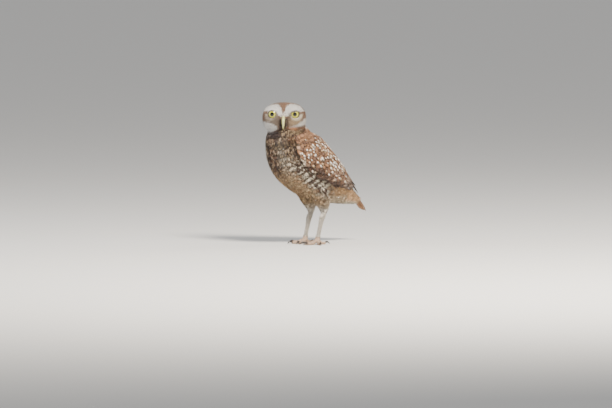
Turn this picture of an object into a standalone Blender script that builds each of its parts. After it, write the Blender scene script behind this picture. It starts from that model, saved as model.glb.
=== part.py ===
"""A burrowing owl, life size, standing on flat ground with its head turned to its left.

The bird faces -Y, its left side is +X, and the floor is z = 0. Sizes are in millimetres until a mesh
is finished, and are then scaled to metres. The body is a loft along a spine that slopes from the neck
down to the tail; the wings are shells that lie over it, with their quills and coverts as vanes.
"""

import math
import random

import bmesh
import bpy
import numpy as np
from mathutils import Matrix, Vector

MM = 0.001
GAP = 0.3  # clearance between two nodes that touch
BLOCK = 400.0  # side of the block that makes a flat cut
SHIFT = (0.0, -12.8, 0.0)  # moves the finished bird so that its box stands centred on the origin

# Body stations from the neck to the root of the tail: y, z, half width, depth above and below the spine.
BODY = (
    (-49.0, 180.0, 29.5, 30.0, 30.5),
    (-46.5, 167.0, 33.0, 32.0, 37.5),
    (-39.5, 153.5, 36.5, 37.0, 46.0),
    (-27.0, 138.0, 38.5, 43.5, 49.5),
    (-10.0, 122.0, 38.5, 44.5, 47.0),
    (11.0, 106.5, 36.0, 39.5, 42.0),
    (34.0, 92.5, 31.0, 31.0, 31.5),
    (57.0, 81.5, 23.0, 20.0, 22.5),
    (78.0, 73.0, 15.5, 9.0, 15.5),
    (96.0, 64.0, 10.0, 2.5, 7.5),
)
BODY_END = 8.7
SECTION_POWER = 2.2  # a little squarer than an ellipse

# The shell in which the folded wings lie, station by station: half width, depth above and below the spine.
WING_SHELL = (
    (30.0, 28.0, 30.0),
    (35.5, 31.5, 38.5),
    (39.0, 38.0, 47.0),
    (41.5, 45.0, 50.5),
    (41.5, 46.0, 49.5),
    (40.0, 42.5, 45.0),
    (36.0, 36.0, 34.0),
    (29.0, 26.0, 23.0),
    (20.5, 16.5, 15.0),
    (12.0, 9.0, 8.0),
)
# Edges of the folded wing: station, then angles round the body from the mid back of its lower and upper edge.
WING_EDGES = (
    (0.85, 103.0, 70.0),
    (1.4, 109.0, 48.0),
    (2.5, 108.0, 30.0),
    (3.6, 104.0, 20.0),
    (5.0, 97.0, 14.0),
    (6.2, 89.0, 11.0),
    (7.3, 72.0, 12.0),
    (8.1, 44.0, 26.0),
)
WING_PAD = (9.0, 9.0, 8.5, 8.0, 7.0, 5.5)  # thickness of the arm, shoulder to the roots of the quills
PAD_END = 5.5
# Tiers of the wing: count, width, tilt, then root and tip of the first and last vane as station and share
# of the way from the lower to the upper edge, then the heights over the shell from root to tip.
QUILL_LIFTS = (-3.6, -3.5, -3.0, -1.6)
INNER_LIFTS = (-3.4, -2.0, -1.7, -1.5)
GREATER_LIFTS = (-2.6, -1.1, 0.2, 0.5)
MEDIAN_LIFTS = (-2.6, -0.5, 0.4, 0.9)
TIERS = {
    "primary": (6, 9.5, 1.0, ((4.1, 0.06), (4.9, 0.34)), ((7.1, 0.08), (8.35, 0.55)), QUILL_LIFTS),
    "secondary": (7, 13.0, 1.4, ((4.1, 0.20), (4.7, 0.90)), ((6.3, 0.15), (7.5, 0.86)), INNER_LIFTS),
    "greater": (6, 14.5, 1.3, ((2.9, 0.12), (3.3, 0.90)), ((4.9, 0.08), (5.7, 0.88)), GREATER_LIFTS),
    "median": (5, 16.0, 1.2, ((1.6, 0.14), (1.8, 0.88)), ((3.3, 0.10), (3.75, 0.88)), MEDIAN_LIFTS),
}
VANE = 0.6  # thickness
VANE_OUTLINE = (0.55, 0.92, 1.0, 0.88, 0.36)  # width of a vane from root to tip, as a share of its greatest

# The neck lies between two flat cuts: a point of each, and the direction square to both.
NECK_LOW = (0.0, -50.0, 157.0)
NECK_HIGH = (0.0, -50.0, 170.0)
NECK_UP = Vector((0.0, -0.35, 0.937)).normalized()

HEAD_AT = (0.0, -54.0, 197.0)
HEAD_TURN = 47.0  # degrees to the bird's left
HEAD_WIDE, HEAD_FRONT, HEAD_BACK, HEAD_UP, HEAD_DOWN = 34.5, 26.0, 31.0, 25.0, 26.0
HEAD_POWER = 2.5
EYE_AT = (16.4, -13.6, 7.2)  # centre of the left globe in the head's own frame
EYE_RADIUS = 9.4
EYE_OUT = 8.0  # degrees that each eye looks outwards
EYE_OPENING = 6.2
LID = 1.2
HEAD_SOLVER = "MANIFOLD"  # the other solver leaves open edges where the lids meet the face

SIDES = ("left", "right")
LEG_X = 17.0
HOCK = {"left": (10.5, 52.0), "right": (13.0, 52.0)}
ANKLE = {"left": (-1.2, 9.0), "right": (2.6, 9.0)}
SHANK_TOP = 0.86  # ends of the shank, as shares of the way up to the hock
SHANK_END = 0.08
# Toes: name, direction in degrees outward from straight ahead, length, radius.
TOES = (
    ("inner", -22.0, 21.0, 2.7),
    ("middle", 8.0, 24.0, 2.8),
    ("outer", 62.0, 19.0, 2.6),
    ("hind", 172.0, 14.0, 2.5),
)
CLAW_LENGTH = 8.5
TOE_REST = 0.75  # share of its radius at which a toe's centre line rests over the floor

TAIL_ROOT = (0.0, 60.0, 97.0)
TAIL_LENGTH = 69.0
TAIL_DROOP = 28.0
TAIL_BEND = 34.0  # further droop at the tip, in degrees
TAIL_ROLL = 9.0
TAIL_FEATHERS = 9
TAIL_STEP = 0.95  # each quill lies this much lower than the next one inwards
QUILL_WIDTH = 6.8
RIGHT_UNDER = 0.37  # the right half of the tail slides this far beneath the left

# Colour and roughness by the start of a piece's name.
LOOKS = {
    "head": ((0.33, 0.24, 0.17), 0.9),
    "neck": ((0.20, 0.13, 0.08), 0.9),
    "torso": ((0.36, 0.25, 0.15), 0.9),
    "wing": ((0.24, 0.14, 0.08), 0.85),
    "tail": ((0.30, 0.17, 0.09), 0.85),
    "thigh": ((0.50, 0.38, 0.24), 0.9),
    "shank": ((0.62, 0.53, 0.42), 0.9),
    "foot": ((0.42, 0.29, 0.20), 0.6),
    "claw": ((0.06, 0.045, 0.035), 0.35),
    "bill": ((0.48, 0.47, 0.24), 0.4),
    "eye": ((0.42, 0.38, 0.04), 0.1),
}


def smooth(rows, at):
    """Rows of numbers read at fractional row positions, by a Catmull-Rom curve through them."""
    rows = np.array(rows, float)
    at = np.clip(np.atleast_1d(np.asarray(at, float)), 0, len(rows) - 1)
    i = np.minimum(at.astype(int), len(rows) - 2)
    t = (at - i)[..., None]
    last = len(rows) - 1
    beyond = 2 * rows[last] - rows[last - 1]
    before = np.where((i > 0)[..., None], rows[np.maximum(i - 1, 0)], 2 * rows[0] - rows[1])
    after = np.where((i + 2 <= last)[..., None], rows[np.minimum(i + 2, last)], beyond)
    a, b = rows[i], rows[i + 1]
    return 0.5 * (
        2 * a
        + (b - before) * t
        + (2 * before - 5 * a + 4 * b - after) * t**2
        + (3 * a - before - 3 * b + after) * t**3
    )


def along(rows, key):
    """Rows whose first column is a position, read at key by straight interpolation of the other columns."""
    rows = np.array(rows, float)
    return np.stack([np.interp(key, rows[:, 0], rows[:, c]) for c in range(1, rows.shape[1])], axis=-1)


def spine(s):
    """Centre (y, z), backward tangent and dorsal direction of the body's spine at station s."""
    centre = smooth(BODY, s)[:, :2]
    step = smooth(BODY, np.asarray(s) + 0.05)[:, :2] - smooth(BODY, np.asarray(s) - 0.05)[:, :2]
    tangent = step / np.linalg.norm(step, axis=1)[:, None]
    dorsal = np.stack([-tangent[:, 1], tangent[:, 0]], axis=1)
    return centre, tangent, dorsal


def section_point(s, angle, sizes, grow):
    """Points on a shell round the spine. angle is in degrees from the mid back towards the left side."""
    s = np.atleast_1d(np.asarray(s, float))
    angle = np.radians(np.broadcast_to(np.asarray(angle, float), s.shape))
    centre, _, dorsal = spine(s)
    wide, up, down = smooth(sizes, s).T
    sine, cosine = np.sin(angle), np.cos(angle)
    power = 2 / SECTION_POWER
    across = (wide + grow) * np.sign(sine) * np.abs(sine) ** power
    height = (np.where(cosine > 0, up, down) + grow) * np.sign(cosine) * np.abs(cosine) ** power
    lifted = centre + dorsal * height[:, None]
    return np.column_stack([across, lifted])


def torso_point(s, angle, grow=0.0):
    return section_point(s, angle, [row[2:] for row in BODY], grow)


def wing_point(s, angle, lift=0.0):
    return section_point(s, angle, WING_SHELL, lift)


def mesh_object(name, bm):
    """A finished bmesh in millimetres as an object in metres."""
    bmesh.ops.recalc_face_normals(bm, faces=bm.faces)
    mesh = bpy.data.meshes.new(name)
    bm.to_mesh(mesh)
    bm.free()
    mesh.transform(Matrix.Scale(MM, 4))
    obj = bpy.data.objects.new(name, mesh)
    bpy.context.collection.objects.link(obj)
    return obj


def loft(name, rings):
    """A closed body through rings of equally many points, capped by a fan at each end."""
    bm = bmesh.new()
    loops = [[bm.verts.new(p) for p in ring] for ring in rings]
    for first, second in zip(loops, loops[1:]):
        for k in range(len(first)):
            j = (k + 1) % len(first)
            bm.faces.new((first[k], first[j], second[j], second[k]))
    for ring, loop in ((rings[0], loops[0]), (rings[-1], loops[-1])):
        middle = bm.verts.new(np.mean(ring, axis=0))
        for k in range(len(loop)):
            bm.faces.new((loop[k], loop[(k + 1) % len(loop)], middle))
    return mesh_object(name, bm)


def tube(name, rows, side, sides=12, count=8, square=2.0):
    """A loft along x, y, z, half width, half height rows. side is the direction of the widths."""
    at = np.linspace(0, len(rows) - 1, count)
    values = smooth(rows, at)
    step = smooth(rows, at + 0.05)[:, :3] - smooth(rows, at - 0.05)[:, :3]
    rings = []
    for value, direction in zip(values, step):
        tangent = Vector(direction).normalized()
        across = (Vector(side) - tangent * Vector(side).dot(tangent)).normalized()
        upward = across.cross(tangent)
        ring = []
        for k in range(sides):
            angle = 2 * math.pi * (k + 0.5) / sides
            c, d = math.cos(angle), math.sin(angle)
            c, d = math.copysign(abs(c) ** (2 / square), c), math.copysign(abs(d) ** (2 / square), d)
            ring.append(Vector(value[:3]) + across * float(value[3]) * c + upward * float(value[4]) * d)
        rings.append(ring)
    return loft(name, rings)


def boolean(obj, others, operation, solver="EXACT"):
    """Joins or cuts obj with a list of closed objects, which are then removed."""
    group = bpy.data.collections.new(obj.name + "_tools")
    for other in others:
        group.objects.link(other)
    modifier = obj.modifiers.new("Boolean", "BOOLEAN")
    modifier.operation = operation
    modifier.operand_type = "COLLECTION"
    modifier.solver = solver
    modifier.collection = group
    bpy.context.view_layer.update()
    evaluated = obj.evaluated_get(bpy.context.evaluated_depsgraph_get())
    result = bpy.data.meshes.new_from_object(evaluated)
    obj.modifiers.clear()
    obj.data = result
    for other in others:
        bpy.data.objects.remove(other)
    bpy.data.collections.remove(group)
    return obj


def copy_of(obj, name):
    twin = obj.copy()
    twin.data = obj.data.copy()
    twin.name = name
    bpy.context.collection.objects.link(twin)
    return twin


def volume_of(bm, faces):
    return sum(
        f.verts[0].co.dot(f.verts[i].co.cross(f.verts[i + 1].co)) / 6
        for f in faces
        for i in range(1, len(f.verts) - 1)
    )


def keep_largest(obj):
    """Drops all but the largest closed surface, which also fills any hollow that a union sealed."""
    bm = bmesh.new()
    bm.from_mesh(obj.data)
    seen, groups = set(), []
    for start in bm.faces:
        if start in seen:
            continue
        group, stack = [], [start]
        seen.add(start)
        while stack:
            face = stack.pop()
            group.append(face)
            for edge in face.edges:
                for near in edge.link_faces:
                    if near not in seen:
                        seen.add(near)
                        stack.append(near)
        groups.append(group)
    groups.sort(key=lambda group: abs(volume_of(bm, group)))
    extra = [face for group in groups[:-1] for face in group]
    bmesh.ops.delete(bm, geom=extra, context="FACES")
    bm.to_mesh(obj.data)
    bm.free()
    return obj


def slice_off(obj, at, normal):
    """Removes what lies on the normal's side of a plane, and leaves a flat cut there."""
    bm = bmesh.new()
    bmesh.ops.create_cube(bm, size=BLOCK)
    normal = Vector(normal).normalized()
    turn = normal.to_track_quat("Z", "Y").to_matrix().to_4x4()
    place = Matrix.Translation(Vector(at) + normal * BLOCK / 2) @ turn
    bmesh.ops.transform(bm, matrix=place, verts=bm.verts)
    return boolean(obj, [mesh_object("block", bm)], "DIFFERENCE")


def torso_loft(name, grow=0.0):
    angles = np.arange(0, 360, 15)
    rings = [torso_point(np.full(len(angles), s), angles, grow) for s in np.linspace(0, BODY_END, 21)]
    for shrink, rise in ((-3.0, 4.0), (-9.0, 7.0)):
        rings.insert(0, torso_point(np.zeros(len(angles)), angles, grow + shrink) + np.array((0, 0, rise)))
    _, tangent, _ = spine(BODY_END)
    for share, onward in ((0.8, 3.0), (0.35, 5.0)):
        end = torso_point(np.full(len(angles), BODY_END), angles, grow)
        middle = end.mean(axis=0)
        rings.append(middle + (end - middle) * share + np.array((0, *tangent[0])) * onward)
    return loft(name, rings)


def face_relief(x, z):
    """How far the face stands forward of the plain head at x, z of the head's own frame."""
    side = abs(x)
    from_eye = math.hypot(side - EYE_AT[0] - 1.2, z - EYE_AT[2])
    dish = -2.3 * math.exp(-((from_eye / 8.5) ** 2))
    brow_line = 13.5 + 0.08 * side
    brow = 2.4 * math.exp(-(((z - brow_line) / 4.6) ** 2)) * math.exp(-(((side - 13) / 11) ** 2))
    bridge = 3.0 * math.exp(-((x / 4.5) ** 2)) * math.exp(-(((z - 5) / 9) ** 2))
    cheek = 1.6 * math.exp(-(((z + 10) / 6) ** 2)) * math.exp(-(((side - 13) / 8) ** 2))
    rim = 1.1 * math.exp(-(((math.hypot(x / 28, (z - 1) / 21) - 1) / 0.18) ** 2))
    return dish + brow + bridge + cheek + rim


def head_frame():
    return Matrix.Translation(HEAD_AT) @ Matrix.Rotation(math.radians(HEAD_TURN), 4, "Z")


def head_surface(direction, grow=0.0):
    """Point of the head's skin line in its own frame, along a unit direction."""
    x, y, z = direction
    deep = HEAD_FRONT if y < 0 else HEAD_BACK
    tall = HEAD_UP if z > 0 else HEAD_DOWN
    size = (
        (abs(x) / HEAD_WIDE) ** HEAD_POWER + (abs(y) / deep) ** HEAD_POWER + (abs(z) / tall) ** HEAD_POWER
    ) ** (-1 / HEAD_POWER)
    point = Vector(direction) * (size + grow)
    facing = max(0.0, -y) ** 0.6
    point.y -= face_relief(point.x, point.z) * facing
    return point


def head_shape(name, grow=0.0):
    """The head with its face, without lids or sockets, in place on the body."""
    bm = bmesh.new()
    bmesh.ops.create_uvsphere(bm, u_segments=38, v_segments=22, radius=1.0)
    for vertex in bm.verts:
        from_front = math.acos(max(-1.0, min(1.0, vertex.co.z))) / math.pi
        polar = math.pi * from_front**1.3
        around = math.atan2(vertex.co.y, vertex.co.x)
        sideways = Vector((math.cos(around), 0, math.sin(around))) * math.sin(polar)
        vertex.co = head_surface(sideways - Vector((0, math.cos(polar), 0)), grow)
    for _ in range(2):
        bmesh.ops.smooth_vert(bm, verts=bm.verts, factor=0.5, use_axis_x=True, use_axis_y=True, use_axis_z=True)
    bmesh.ops.transform(bm, matrix=head_frame(), verts=bm.verts)
    bmesh.ops.triangulate(bm, faces=bm.faces)
    return mesh_object(name, bm)


def eye_frame(side):
    """Frame of a globe: its centre, with -Y along the way that the eye looks."""
    sign = 1 if side == "left" else -1
    centre = Matrix.Translation((sign * EYE_AT[0], EYE_AT[1], EYE_AT[2]))
    return head_frame() @ centre @ Matrix.Rotation(math.radians(sign * EYE_OUT), 4, "Z")


def ball(name, radius, matrix, segments=20):
    bm = bmesh.new()
    bmesh.ops.create_uvsphere(bm, u_segments=segments, v_segments=segments // 2, radius=radius)
    bmesh.ops.transform(bm, matrix=matrix @ Matrix.Rotation(math.radians(90), 4, "X"), verts=bm.verts)
    bmesh.ops.triangulate(bm, faces=bm.faces)
    return mesh_object(name, bm)


def lid_opening(name, side):
    """The space between the lids: round below and cut flatter above by the brow."""
    rings = []
    for depth in (2.0, EYE_RADIUS + 8):
        ring = []
        for k in range(20):
            angle = 2 * math.pi * k / 20
            x, z = EYE_OPENING * math.cos(angle), EYE_OPENING * math.sin(angle)
            ring.append(eye_frame(side) @ Vector((x, -depth, min(z, 0.78 * EYE_OPENING))))
        rings.append(ring)
    return loft(name, rings)


def globe(name, side, grow=0.0):
    return ball(name, EYE_RADIUS + grow, eye_frame(side))


def bill_path(rows, name, sides=10, count=8):
    obj = tube(name, rows, (1, 0, 0), sides=sides, count=count)
    obj.data.transform(Matrix.Scale(MM, 4) @ head_frame() @ Matrix.Scale(1 / MM, 4))
    return obj


def upper_bill(grow=0.0):
    """Cere and hooked upper half of the bill."""
    rows = (
        (0, -19.0, 3.5, 3.6, 5.2),
        (0, -27.0, 2.2, 3.6, 5.0),
        (0, -31.5, -2.0, 3.1, 4.3),
        (0, -33.5, -7.0, 2.5, 3.2),
        (0, -33.0, -12.0, 1.5, 1.8),
        (0, -30.8, -15.5, 0.45, 0.45),
    )
    return bill_path([(*row[:3], row[3] + grow, row[4] + grow) for row in rows], "bill_upper")


def nostrils():
    turn = Matrix.Rotation(math.radians(90), 4, "X")
    pits = []
    for sign in (-1, 1):
        place = head_frame() @ Matrix.Translation((sign * 3.2, -28.6, 2.2)) @ turn
        pits.append(ball(f"nostril_{sign}", 0.95, place, segments=8))
    return pits


def lower_bill():
    """The lower half, shut against the upper one, so that their gap draws the line of the mouth."""
    rows = (
        (0, -19.0, -5.5, 3.3, 3.4),
        (0, -25.5, -7.0, 3.1, 3.2),
        (0, -29.5, -9.5, 2.3, 2.4),
        (0, -31.0, -12.0, 1.2, 1.4),
        (0, -31.0, -13.4, 0.5, 0.6),
    )
    return boolean(bill_path(rows, "bill_lower", sides=10, count=8), [upper_bill(GAP)], "DIFFERENCE")


def plate(name, upper, lower):
    """A thin closed body from two grids of points alike, with its two faces split into the same triangles."""
    bm = bmesh.new()
    top = [[bm.verts.new(p) for p in row] for row in upper]
    low = [[bm.verts.new(p) for p in row] for row in lower]
    rows, columns = len(top), len(top[0])

    def quad(a, b, c, d):
        bm.faces.new((a, b, c))
        bm.faces.new((a, c, d))

    for i in range(rows - 1):
        for j in range(columns - 1):
            quad(top[i][j], top[i][j + 1], top[i + 1][j + 1], top[i + 1][j])
            quad(low[i][j], low[i][j + 1], low[i + 1][j + 1], low[i + 1][j])
        for j in (0, columns - 1):
            quad(top[i][j], top[i + 1][j], low[i + 1][j], low[i][j])
    for i in (0, rows - 1):
        for j in range(columns - 1):
            quad(top[i][j], top[i][j + 1], low[i][j + 1], low[i][j])
    return mesh_object(name, bm)


def vane(name, surface, root, tip, width, tilt, lifts):
    """One flat feather over a surface. root and tip are station and angle; lifts are its heights from root to tip.

    Its edge towards the belly stands tilt higher, so that it laps over the next feather down.
    """
    outline = np.array(VANE_OUTLINE)
    share = np.linspace(0, 1, len(outline))
    line = np.outer(1 - share, root) + np.outer(share, tip)
    height = smooth([(v,) for v in lifts], share * (len(lifts) - 1))[:, 0]
    per_degree = np.linalg.norm(
        surface(line[:, 0], line[:, 1] + 1.0, height) - surface(line[:, 0], line[:, 1], height), axis=1
    )
    half = width * outline / 2 / per_degree
    upper, lower = [], []
    for k, (s, angle) in enumerate(line):
        spots = ((angle - half[k], 0.0), (angle + half[k], tilt))
        upper.append([surface(s, a, height[k] + rise + VANE)[0] for a, rise in spots])
        lower.append([surface(s, a, height[k] + rise)[0] for a, rise in spots])
    return plate(name, upper, lower)


def wing_edge(s):
    """Lower and upper edge angle of the folded wing at station s."""
    return along(WING_EDGES, s)


def wing_tier(label, draw):
    """A row of vanes from the lower to the upper edge of the wing."""
    count, width, tilt, roots, tips, lifts = TIERS[label]
    made = []
    for k in range(count):
        share = k / (count - 1)
        ends = []
        for first, last in (roots, tips):
            s, across = np.array(first) * (1 - share) + np.array(last) * share
            s += draw.uniform(-0.05, 0.05)
            low, high = wing_edge(s)
            ends.append((s, low + (high - low) * across + draw.uniform(-0.4, 0.4)))
        size = width * draw.uniform(0.95, 1.05)
        rise = draw.uniform(-0.06, 0.06)
        made.append(vane(f"{label}_{k}", wing_point, *ends, size, tilt, [lift + rise for lift in lifts]))
    return made


def wing_pad():
    """The arm and the roots of the quills as one smooth shell, thick enough to reach into the body."""
    stations = np.linspace(WING_EDGES[0][0], PAD_END, 13)
    across = np.array((-1, -0.85, -0.45, 0, 0.45, 0.85, 1))
    upper, lower = [], []
    for s in stations:
        low, high = wing_edge(s)
        angles = low + (high - low) * (across + 1) / 2
        progress = (s - stations[0]) / (stations[-1] - stations[0])
        thick = smooth([(v,) for v in WING_PAD], progress * (len(WING_PAD) - 1))[0, 0]
        sink = 1.0 * np.abs(across) ** 4
        upper.append(wing_point(np.full(len(angles), s), angles, -sink))
        lower.append(wing_point(np.full(len(angles), s), angles, -thick))
    return plate("wing_left", upper, lower)


def skin(obj, colour, roughness):
    """Gives a finished piece its material and smooth shading."""
    material = bpy.data.materials.new(obj.name)
    material.use_nodes = True
    shader = material.node_tree.nodes["Principled BSDF"]
    shader.inputs["Base Color"].default_value = (*colour, 1.0)
    shader.inputs["Roughness"].default_value = roughness
    shader.inputs["Metallic"].default_value = 0.0
    obj.data.materials.clear()
    obj.data.materials.append(material)
    obj.data.shade_smooth()
    obj.data.set_sharp_from_angle(angle=math.radians(40))


def left_wing():
    draw = random.Random(5)
    vanes = [piece for label in TIERS for piece in wing_tier(label, draw)]
    return keep_largest(boolean(wing_pad(), vanes, "UNION"))


def mirrored(obj, name):
    twin = copy_of(obj, name)
    twin.data.transform(Matrix.Scale(-1, 4, (1, 0, 0)))
    twin.data.flip_normals()
    return twin


def tail_place(x, y, z):
    """A point beside, along and above the tail's middle line, on its bent and rolled surface."""
    bend = math.radians(TAIL_BEND) * (y / TAIL_LENGTH)
    drop = y * math.sin(bend) / 2
    frame = Matrix.Rotation(-math.radians(TAIL_DROOP), 4, "X") @ Matrix.Rotation(math.radians(TAIL_ROLL), 4, "Y")
    return Vector(TAIL_ROOT) + frame @ Vector((x, y, z - drop))


def tail_feather(k):
    """One tail quill, the middle one uppermost. k counts from the bird's right."""
    middle = (TAIL_FEATHERS - 1) / 2
    rank = k - middle
    place = rank / middle
    turn = math.radians(place * 3.6)
    length = TAIL_LENGTH - 5 * place * place
    upper, lower = [], []
    for share, half in ((0.25, 0.5), (0.45, 0.85), (0.65, 1.0), (0.82, 0.98), (0.94, 0.8), (1.0, 0.4)):
        above, below = [], []
        for edge in (-1, 0, 1):
            inward = -edge * np.sign(rank) * 0.32 if rank else edge * 0.22
            x = place * 3.4 + edge * QUILL_WIDTH / 2 * half * math.cos(turn) + share * length * math.sin(turn)
            y = share * length * math.cos(turn) - edge * QUILL_WIDTH / 2 * half * math.sin(turn)
            z = inward - abs(rank) * TAIL_STEP - (RIGHT_UNDER if rank < 0 else 0.0)
            above.append(tail_place(x, y, z + VANE))
            below.append(tail_place(x, y, z))
        upper.append(above)
        lower.append(below)
    return plate(f"quill_{k}", upper, lower)


def tail():
    rows = (
        (0, 2.0, -1.5, 8.0, 4.0),
        (0, 18.0, -1.5, 8.5, 4.0),
        (0, 36.0, -1.8, 8.5, 2.8),
        (0, 0.6 * TAIL_LENGTH, -1.8, 8.0, 1.4),
    )
    core = tube("tail", rows, (1, 0, 0), sides=16, count=8)
    for vertex in core.data.vertices:
        vertex.co = tail_place(*(vertex.co / MM)) * MM
    return keep_largest(boolean(core, [tail_feather(k) for k in range(TAIL_FEATHERS)], "UNION"))


def leg_point(side, share):
    """Point of the shank's centre line, from the ankle at 0 to the hock at 1."""
    sign = 1 if side == "left" else -1
    (y0, z0), (y1, z1) = ANKLE[side], HOCK[side]
    return Vector((sign * LEG_X, y0 + (y1 - y0) * share, z0 + (z1 - z0) * share))


def leg_up(side):
    """Direction from the ankle to the hock."""
    return (leg_point(side, 1.0) - leg_point(side, 0.0)).normalized()


def thigh(side):
    """The feathered upper leg, from inside the body down to a flat end over the hock."""
    x, hock_y, hock_z = leg_point(side, 1.0)
    inward = 1 if side == "left" else -1
    rows = (
        (x - 1.0 * inward, hock_y - 12, hock_z + 40, 14.0, 20.0),
        (x, hock_y - 5, hock_z + 24, 13.0, 16.5),
        (x, hock_y, hock_z + 10, 9.0, 10.5),
        (x, hock_y + 1.0, hock_z + 1, 5.6, 6.2),
        (x, hock_y - 0.6, hock_z - 6, 4.3, 4.6),
    )
    return tube(f"thigh_{side}", rows, (1, 0, 0), sides=16, count=12)


def shank(side):
    top, end = leg_point(side, SHANK_TOP), leg_point(side, SHANK_END)
    rows = []
    for share, wide, deep in ((0, 2.9, 3.3), (0.15, 2.5, 2.9), (0.5, 2.7, 3.1), (0.85, 3.5, 3.9), (1.0, 3.8, 4.2)):
        rows.append((*end.lerp(top, share), wide, deep))
    return tube(f"shank_{side}", rows, (1, 0, 0), sides=12, count=9)


def toe_path(side, turn, length, radius):
    """Centre line rows of a toe and its claw: x, y, z, half width, half height."""
    sign = 1 if side == "left" else -1
    start = leg_point(side, 0.0)
    angle = math.radians(turn * sign)
    ahead = Vector((math.sin(angle), -math.cos(angle), 0))
    rest = radius * TOE_REST
    toe = (
        (0.0, start.z - 3.2, 1.05),
        (0.22, rest + 3.2, 1.0),
        (0.42, rest + 0.9, 1.12),
        (0.60, rest + 0.25, 0.92),
        (0.78, rest, 1.10),
        (0.92, rest + 0.35, 0.95),
        (1.0, rest + 0.9, 0.80),
    )
    rows = []
    for d, z, r in toe:
        at = start + ahead * length * d
        rows.append((at.x, at.y, z, radius * r, radius * r))
    claw = ((0.0, 1.0, 0.52), (0.30, 1.9, 0.50), (0.62, 1.4, 0.36), (0.88, -0.4, 0.20), (1.0, -1.7, 0.08))
    hook = []
    for d, z, r in claw:
        at = start + ahead * (length + GAP + CLAW_LENGTH * d)
        hook.append((at.x, at.y, rest + z, radius * r, radius * r * 1.15))
    return rows, hook, Vector((math.cos(angle), math.sin(angle), 0))


def foot(side):
    """Toes and ankle as one body with flat soles, cut off square below the shank."""
    toes = []
    for label, turn, length, radius in TOES:
        rows, _, across = toe_path(side, turn, length, radius)
        toes.append(tube(f"toe_{side}_{label}", rows, across, sides=8, count=10))
    centre, up = leg_point(side, 0.0), leg_up(side)
    rows = [(*(centre + up * h), w, w) for h, w in ((-6.0, 2.2), (-3.5, 4.0), (-0.5, 4.2), (3.0, 3.2), (8.0, 2.9))]
    ankle = tube(f"foot_{side}", rows, (1, 0, 0), sides=12, count=9)
    ankle = keep_largest(boolean(ankle, toes, "UNION"))
    slice_off(ankle, leg_point(side, SHANK_END) - up * GAP, up)
    return slice_off(ankle, (0, 0, 0), (0, 0, -1))


def claws(side):
    made = []
    for label, turn, length, radius in TOES:
        _, hook, across = toe_path(side, turn, length, radius)
        claw = tube(f"claw_{side}_{label}", hook, across, sides=8, count=8)
        made.append(slice_off(claw, (0, 0, 0.15), (0, 0, -1)))
    return made


def lids_and_eyes(head):
    """Swells the head into two lids round each globe, opens them and leaves the globes free in their sockets."""
    lids = [ball(f"lid_{side}", EYE_RADIUS + LID, eye_frame(side)) for side in SIDES]
    boolean(head, lids, "UNION", HEAD_SOLVER)
    openings = [lid_opening(f"opening_{side}", side) for side in SIDES]
    sockets = [globe(f"socket_{side}", side, GAP) for side in SIDES]
    boolean(head, openings, "DIFFERENCE", HEAD_SOLVER)
    keep_largest(boolean(head, sockets, "DIFFERENCE", HEAD_SOLVER))
    for side in SIDES:
        globe(f"eye_{side}", side)


def build():
    flesh_cutter = boolean(torso_loft("flesh_cutter", GAP), [head_shape("head_cutter", GAP)], "UNION")
    flesh = boolean(torso_loft("flesh"), [head_shape("head_plain")], "UNION")
    keep_largest(flesh)
    slice_off(copy_of(flesh, "torso"), NECK_LOW, NECK_UP)
    neck = slice_off(copy_of(flesh, "neck"), NECK_HIGH, NECK_UP)
    slice_off(neck, Vector(NECK_LOW) + NECK_UP * GAP, -NECK_UP)
    head = slice_off(copy_of(flesh, "head"), Vector(NECK_HIGH) + NECK_UP * GAP, -NECK_UP)
    bpy.data.objects.remove(flesh)
    lids_and_eyes(head)

    wing = left_wing()
    thighs = {side: thigh(side) for side in SIDES}
    bill = boolean(upper_bill(), nostrils(), "DIFFERENCE")
    for piece in (wing, tail(), bill, lower_bill(), *thighs.values()):
        keep_largest(boolean(piece, [copy_of(flesh_cutter, "cutter")], "DIFFERENCE"))
    bpy.data.objects.remove(flesh_cutter)
    mirrored(wing, "wing_right")

    for side, leg in thighs.items():
        slice_off(leg, leg_point(side, SHANK_TOP) + leg_up(side) * GAP, -leg_up(side))
        shank(side)
        foot(side)
        claws(side)


for old in list(bpy.data.objects):
    bpy.data.objects.remove(old)
build()
for piece in bpy.data.objects:
    piece.data.transform(Matrix.Translation(Vector(SHIFT) * MM))
    skin(piece, *LOOKS[piece.name.split("_")[0]])
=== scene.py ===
"""The dressed burrowing owl: skin, plumage, eyes, bill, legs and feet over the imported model.

Lengths are in millimetres in the bird's own frame until a piece is finished. It faces -Y, its left side is
+X and the floor is z = 0. Stations count along the spine from the neck to the root of the tail, and angles
go round the body from the middle of the back.
"""

import math

import bmesh
import bpy
import numpy as np
from mathutils import Matrix, Vector
from mathutils.bvhtree import BVHTree


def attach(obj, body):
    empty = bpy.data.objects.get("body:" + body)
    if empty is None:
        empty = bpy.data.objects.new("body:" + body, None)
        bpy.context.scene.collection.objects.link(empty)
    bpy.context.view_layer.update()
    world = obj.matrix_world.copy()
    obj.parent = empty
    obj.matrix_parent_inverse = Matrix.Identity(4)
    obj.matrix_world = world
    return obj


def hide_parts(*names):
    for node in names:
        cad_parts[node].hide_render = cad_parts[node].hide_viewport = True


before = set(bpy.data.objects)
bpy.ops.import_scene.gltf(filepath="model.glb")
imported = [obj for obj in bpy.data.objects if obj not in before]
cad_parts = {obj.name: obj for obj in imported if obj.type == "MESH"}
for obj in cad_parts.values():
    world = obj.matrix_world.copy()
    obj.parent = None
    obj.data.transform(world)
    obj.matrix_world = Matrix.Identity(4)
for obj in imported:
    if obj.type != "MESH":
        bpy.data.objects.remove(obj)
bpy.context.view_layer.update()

MM = 0.001
SHIFT = np.array((0.0, -12.8, 0.0))  # from the bird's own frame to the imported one
SIDES = ("left", "right")

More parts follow.
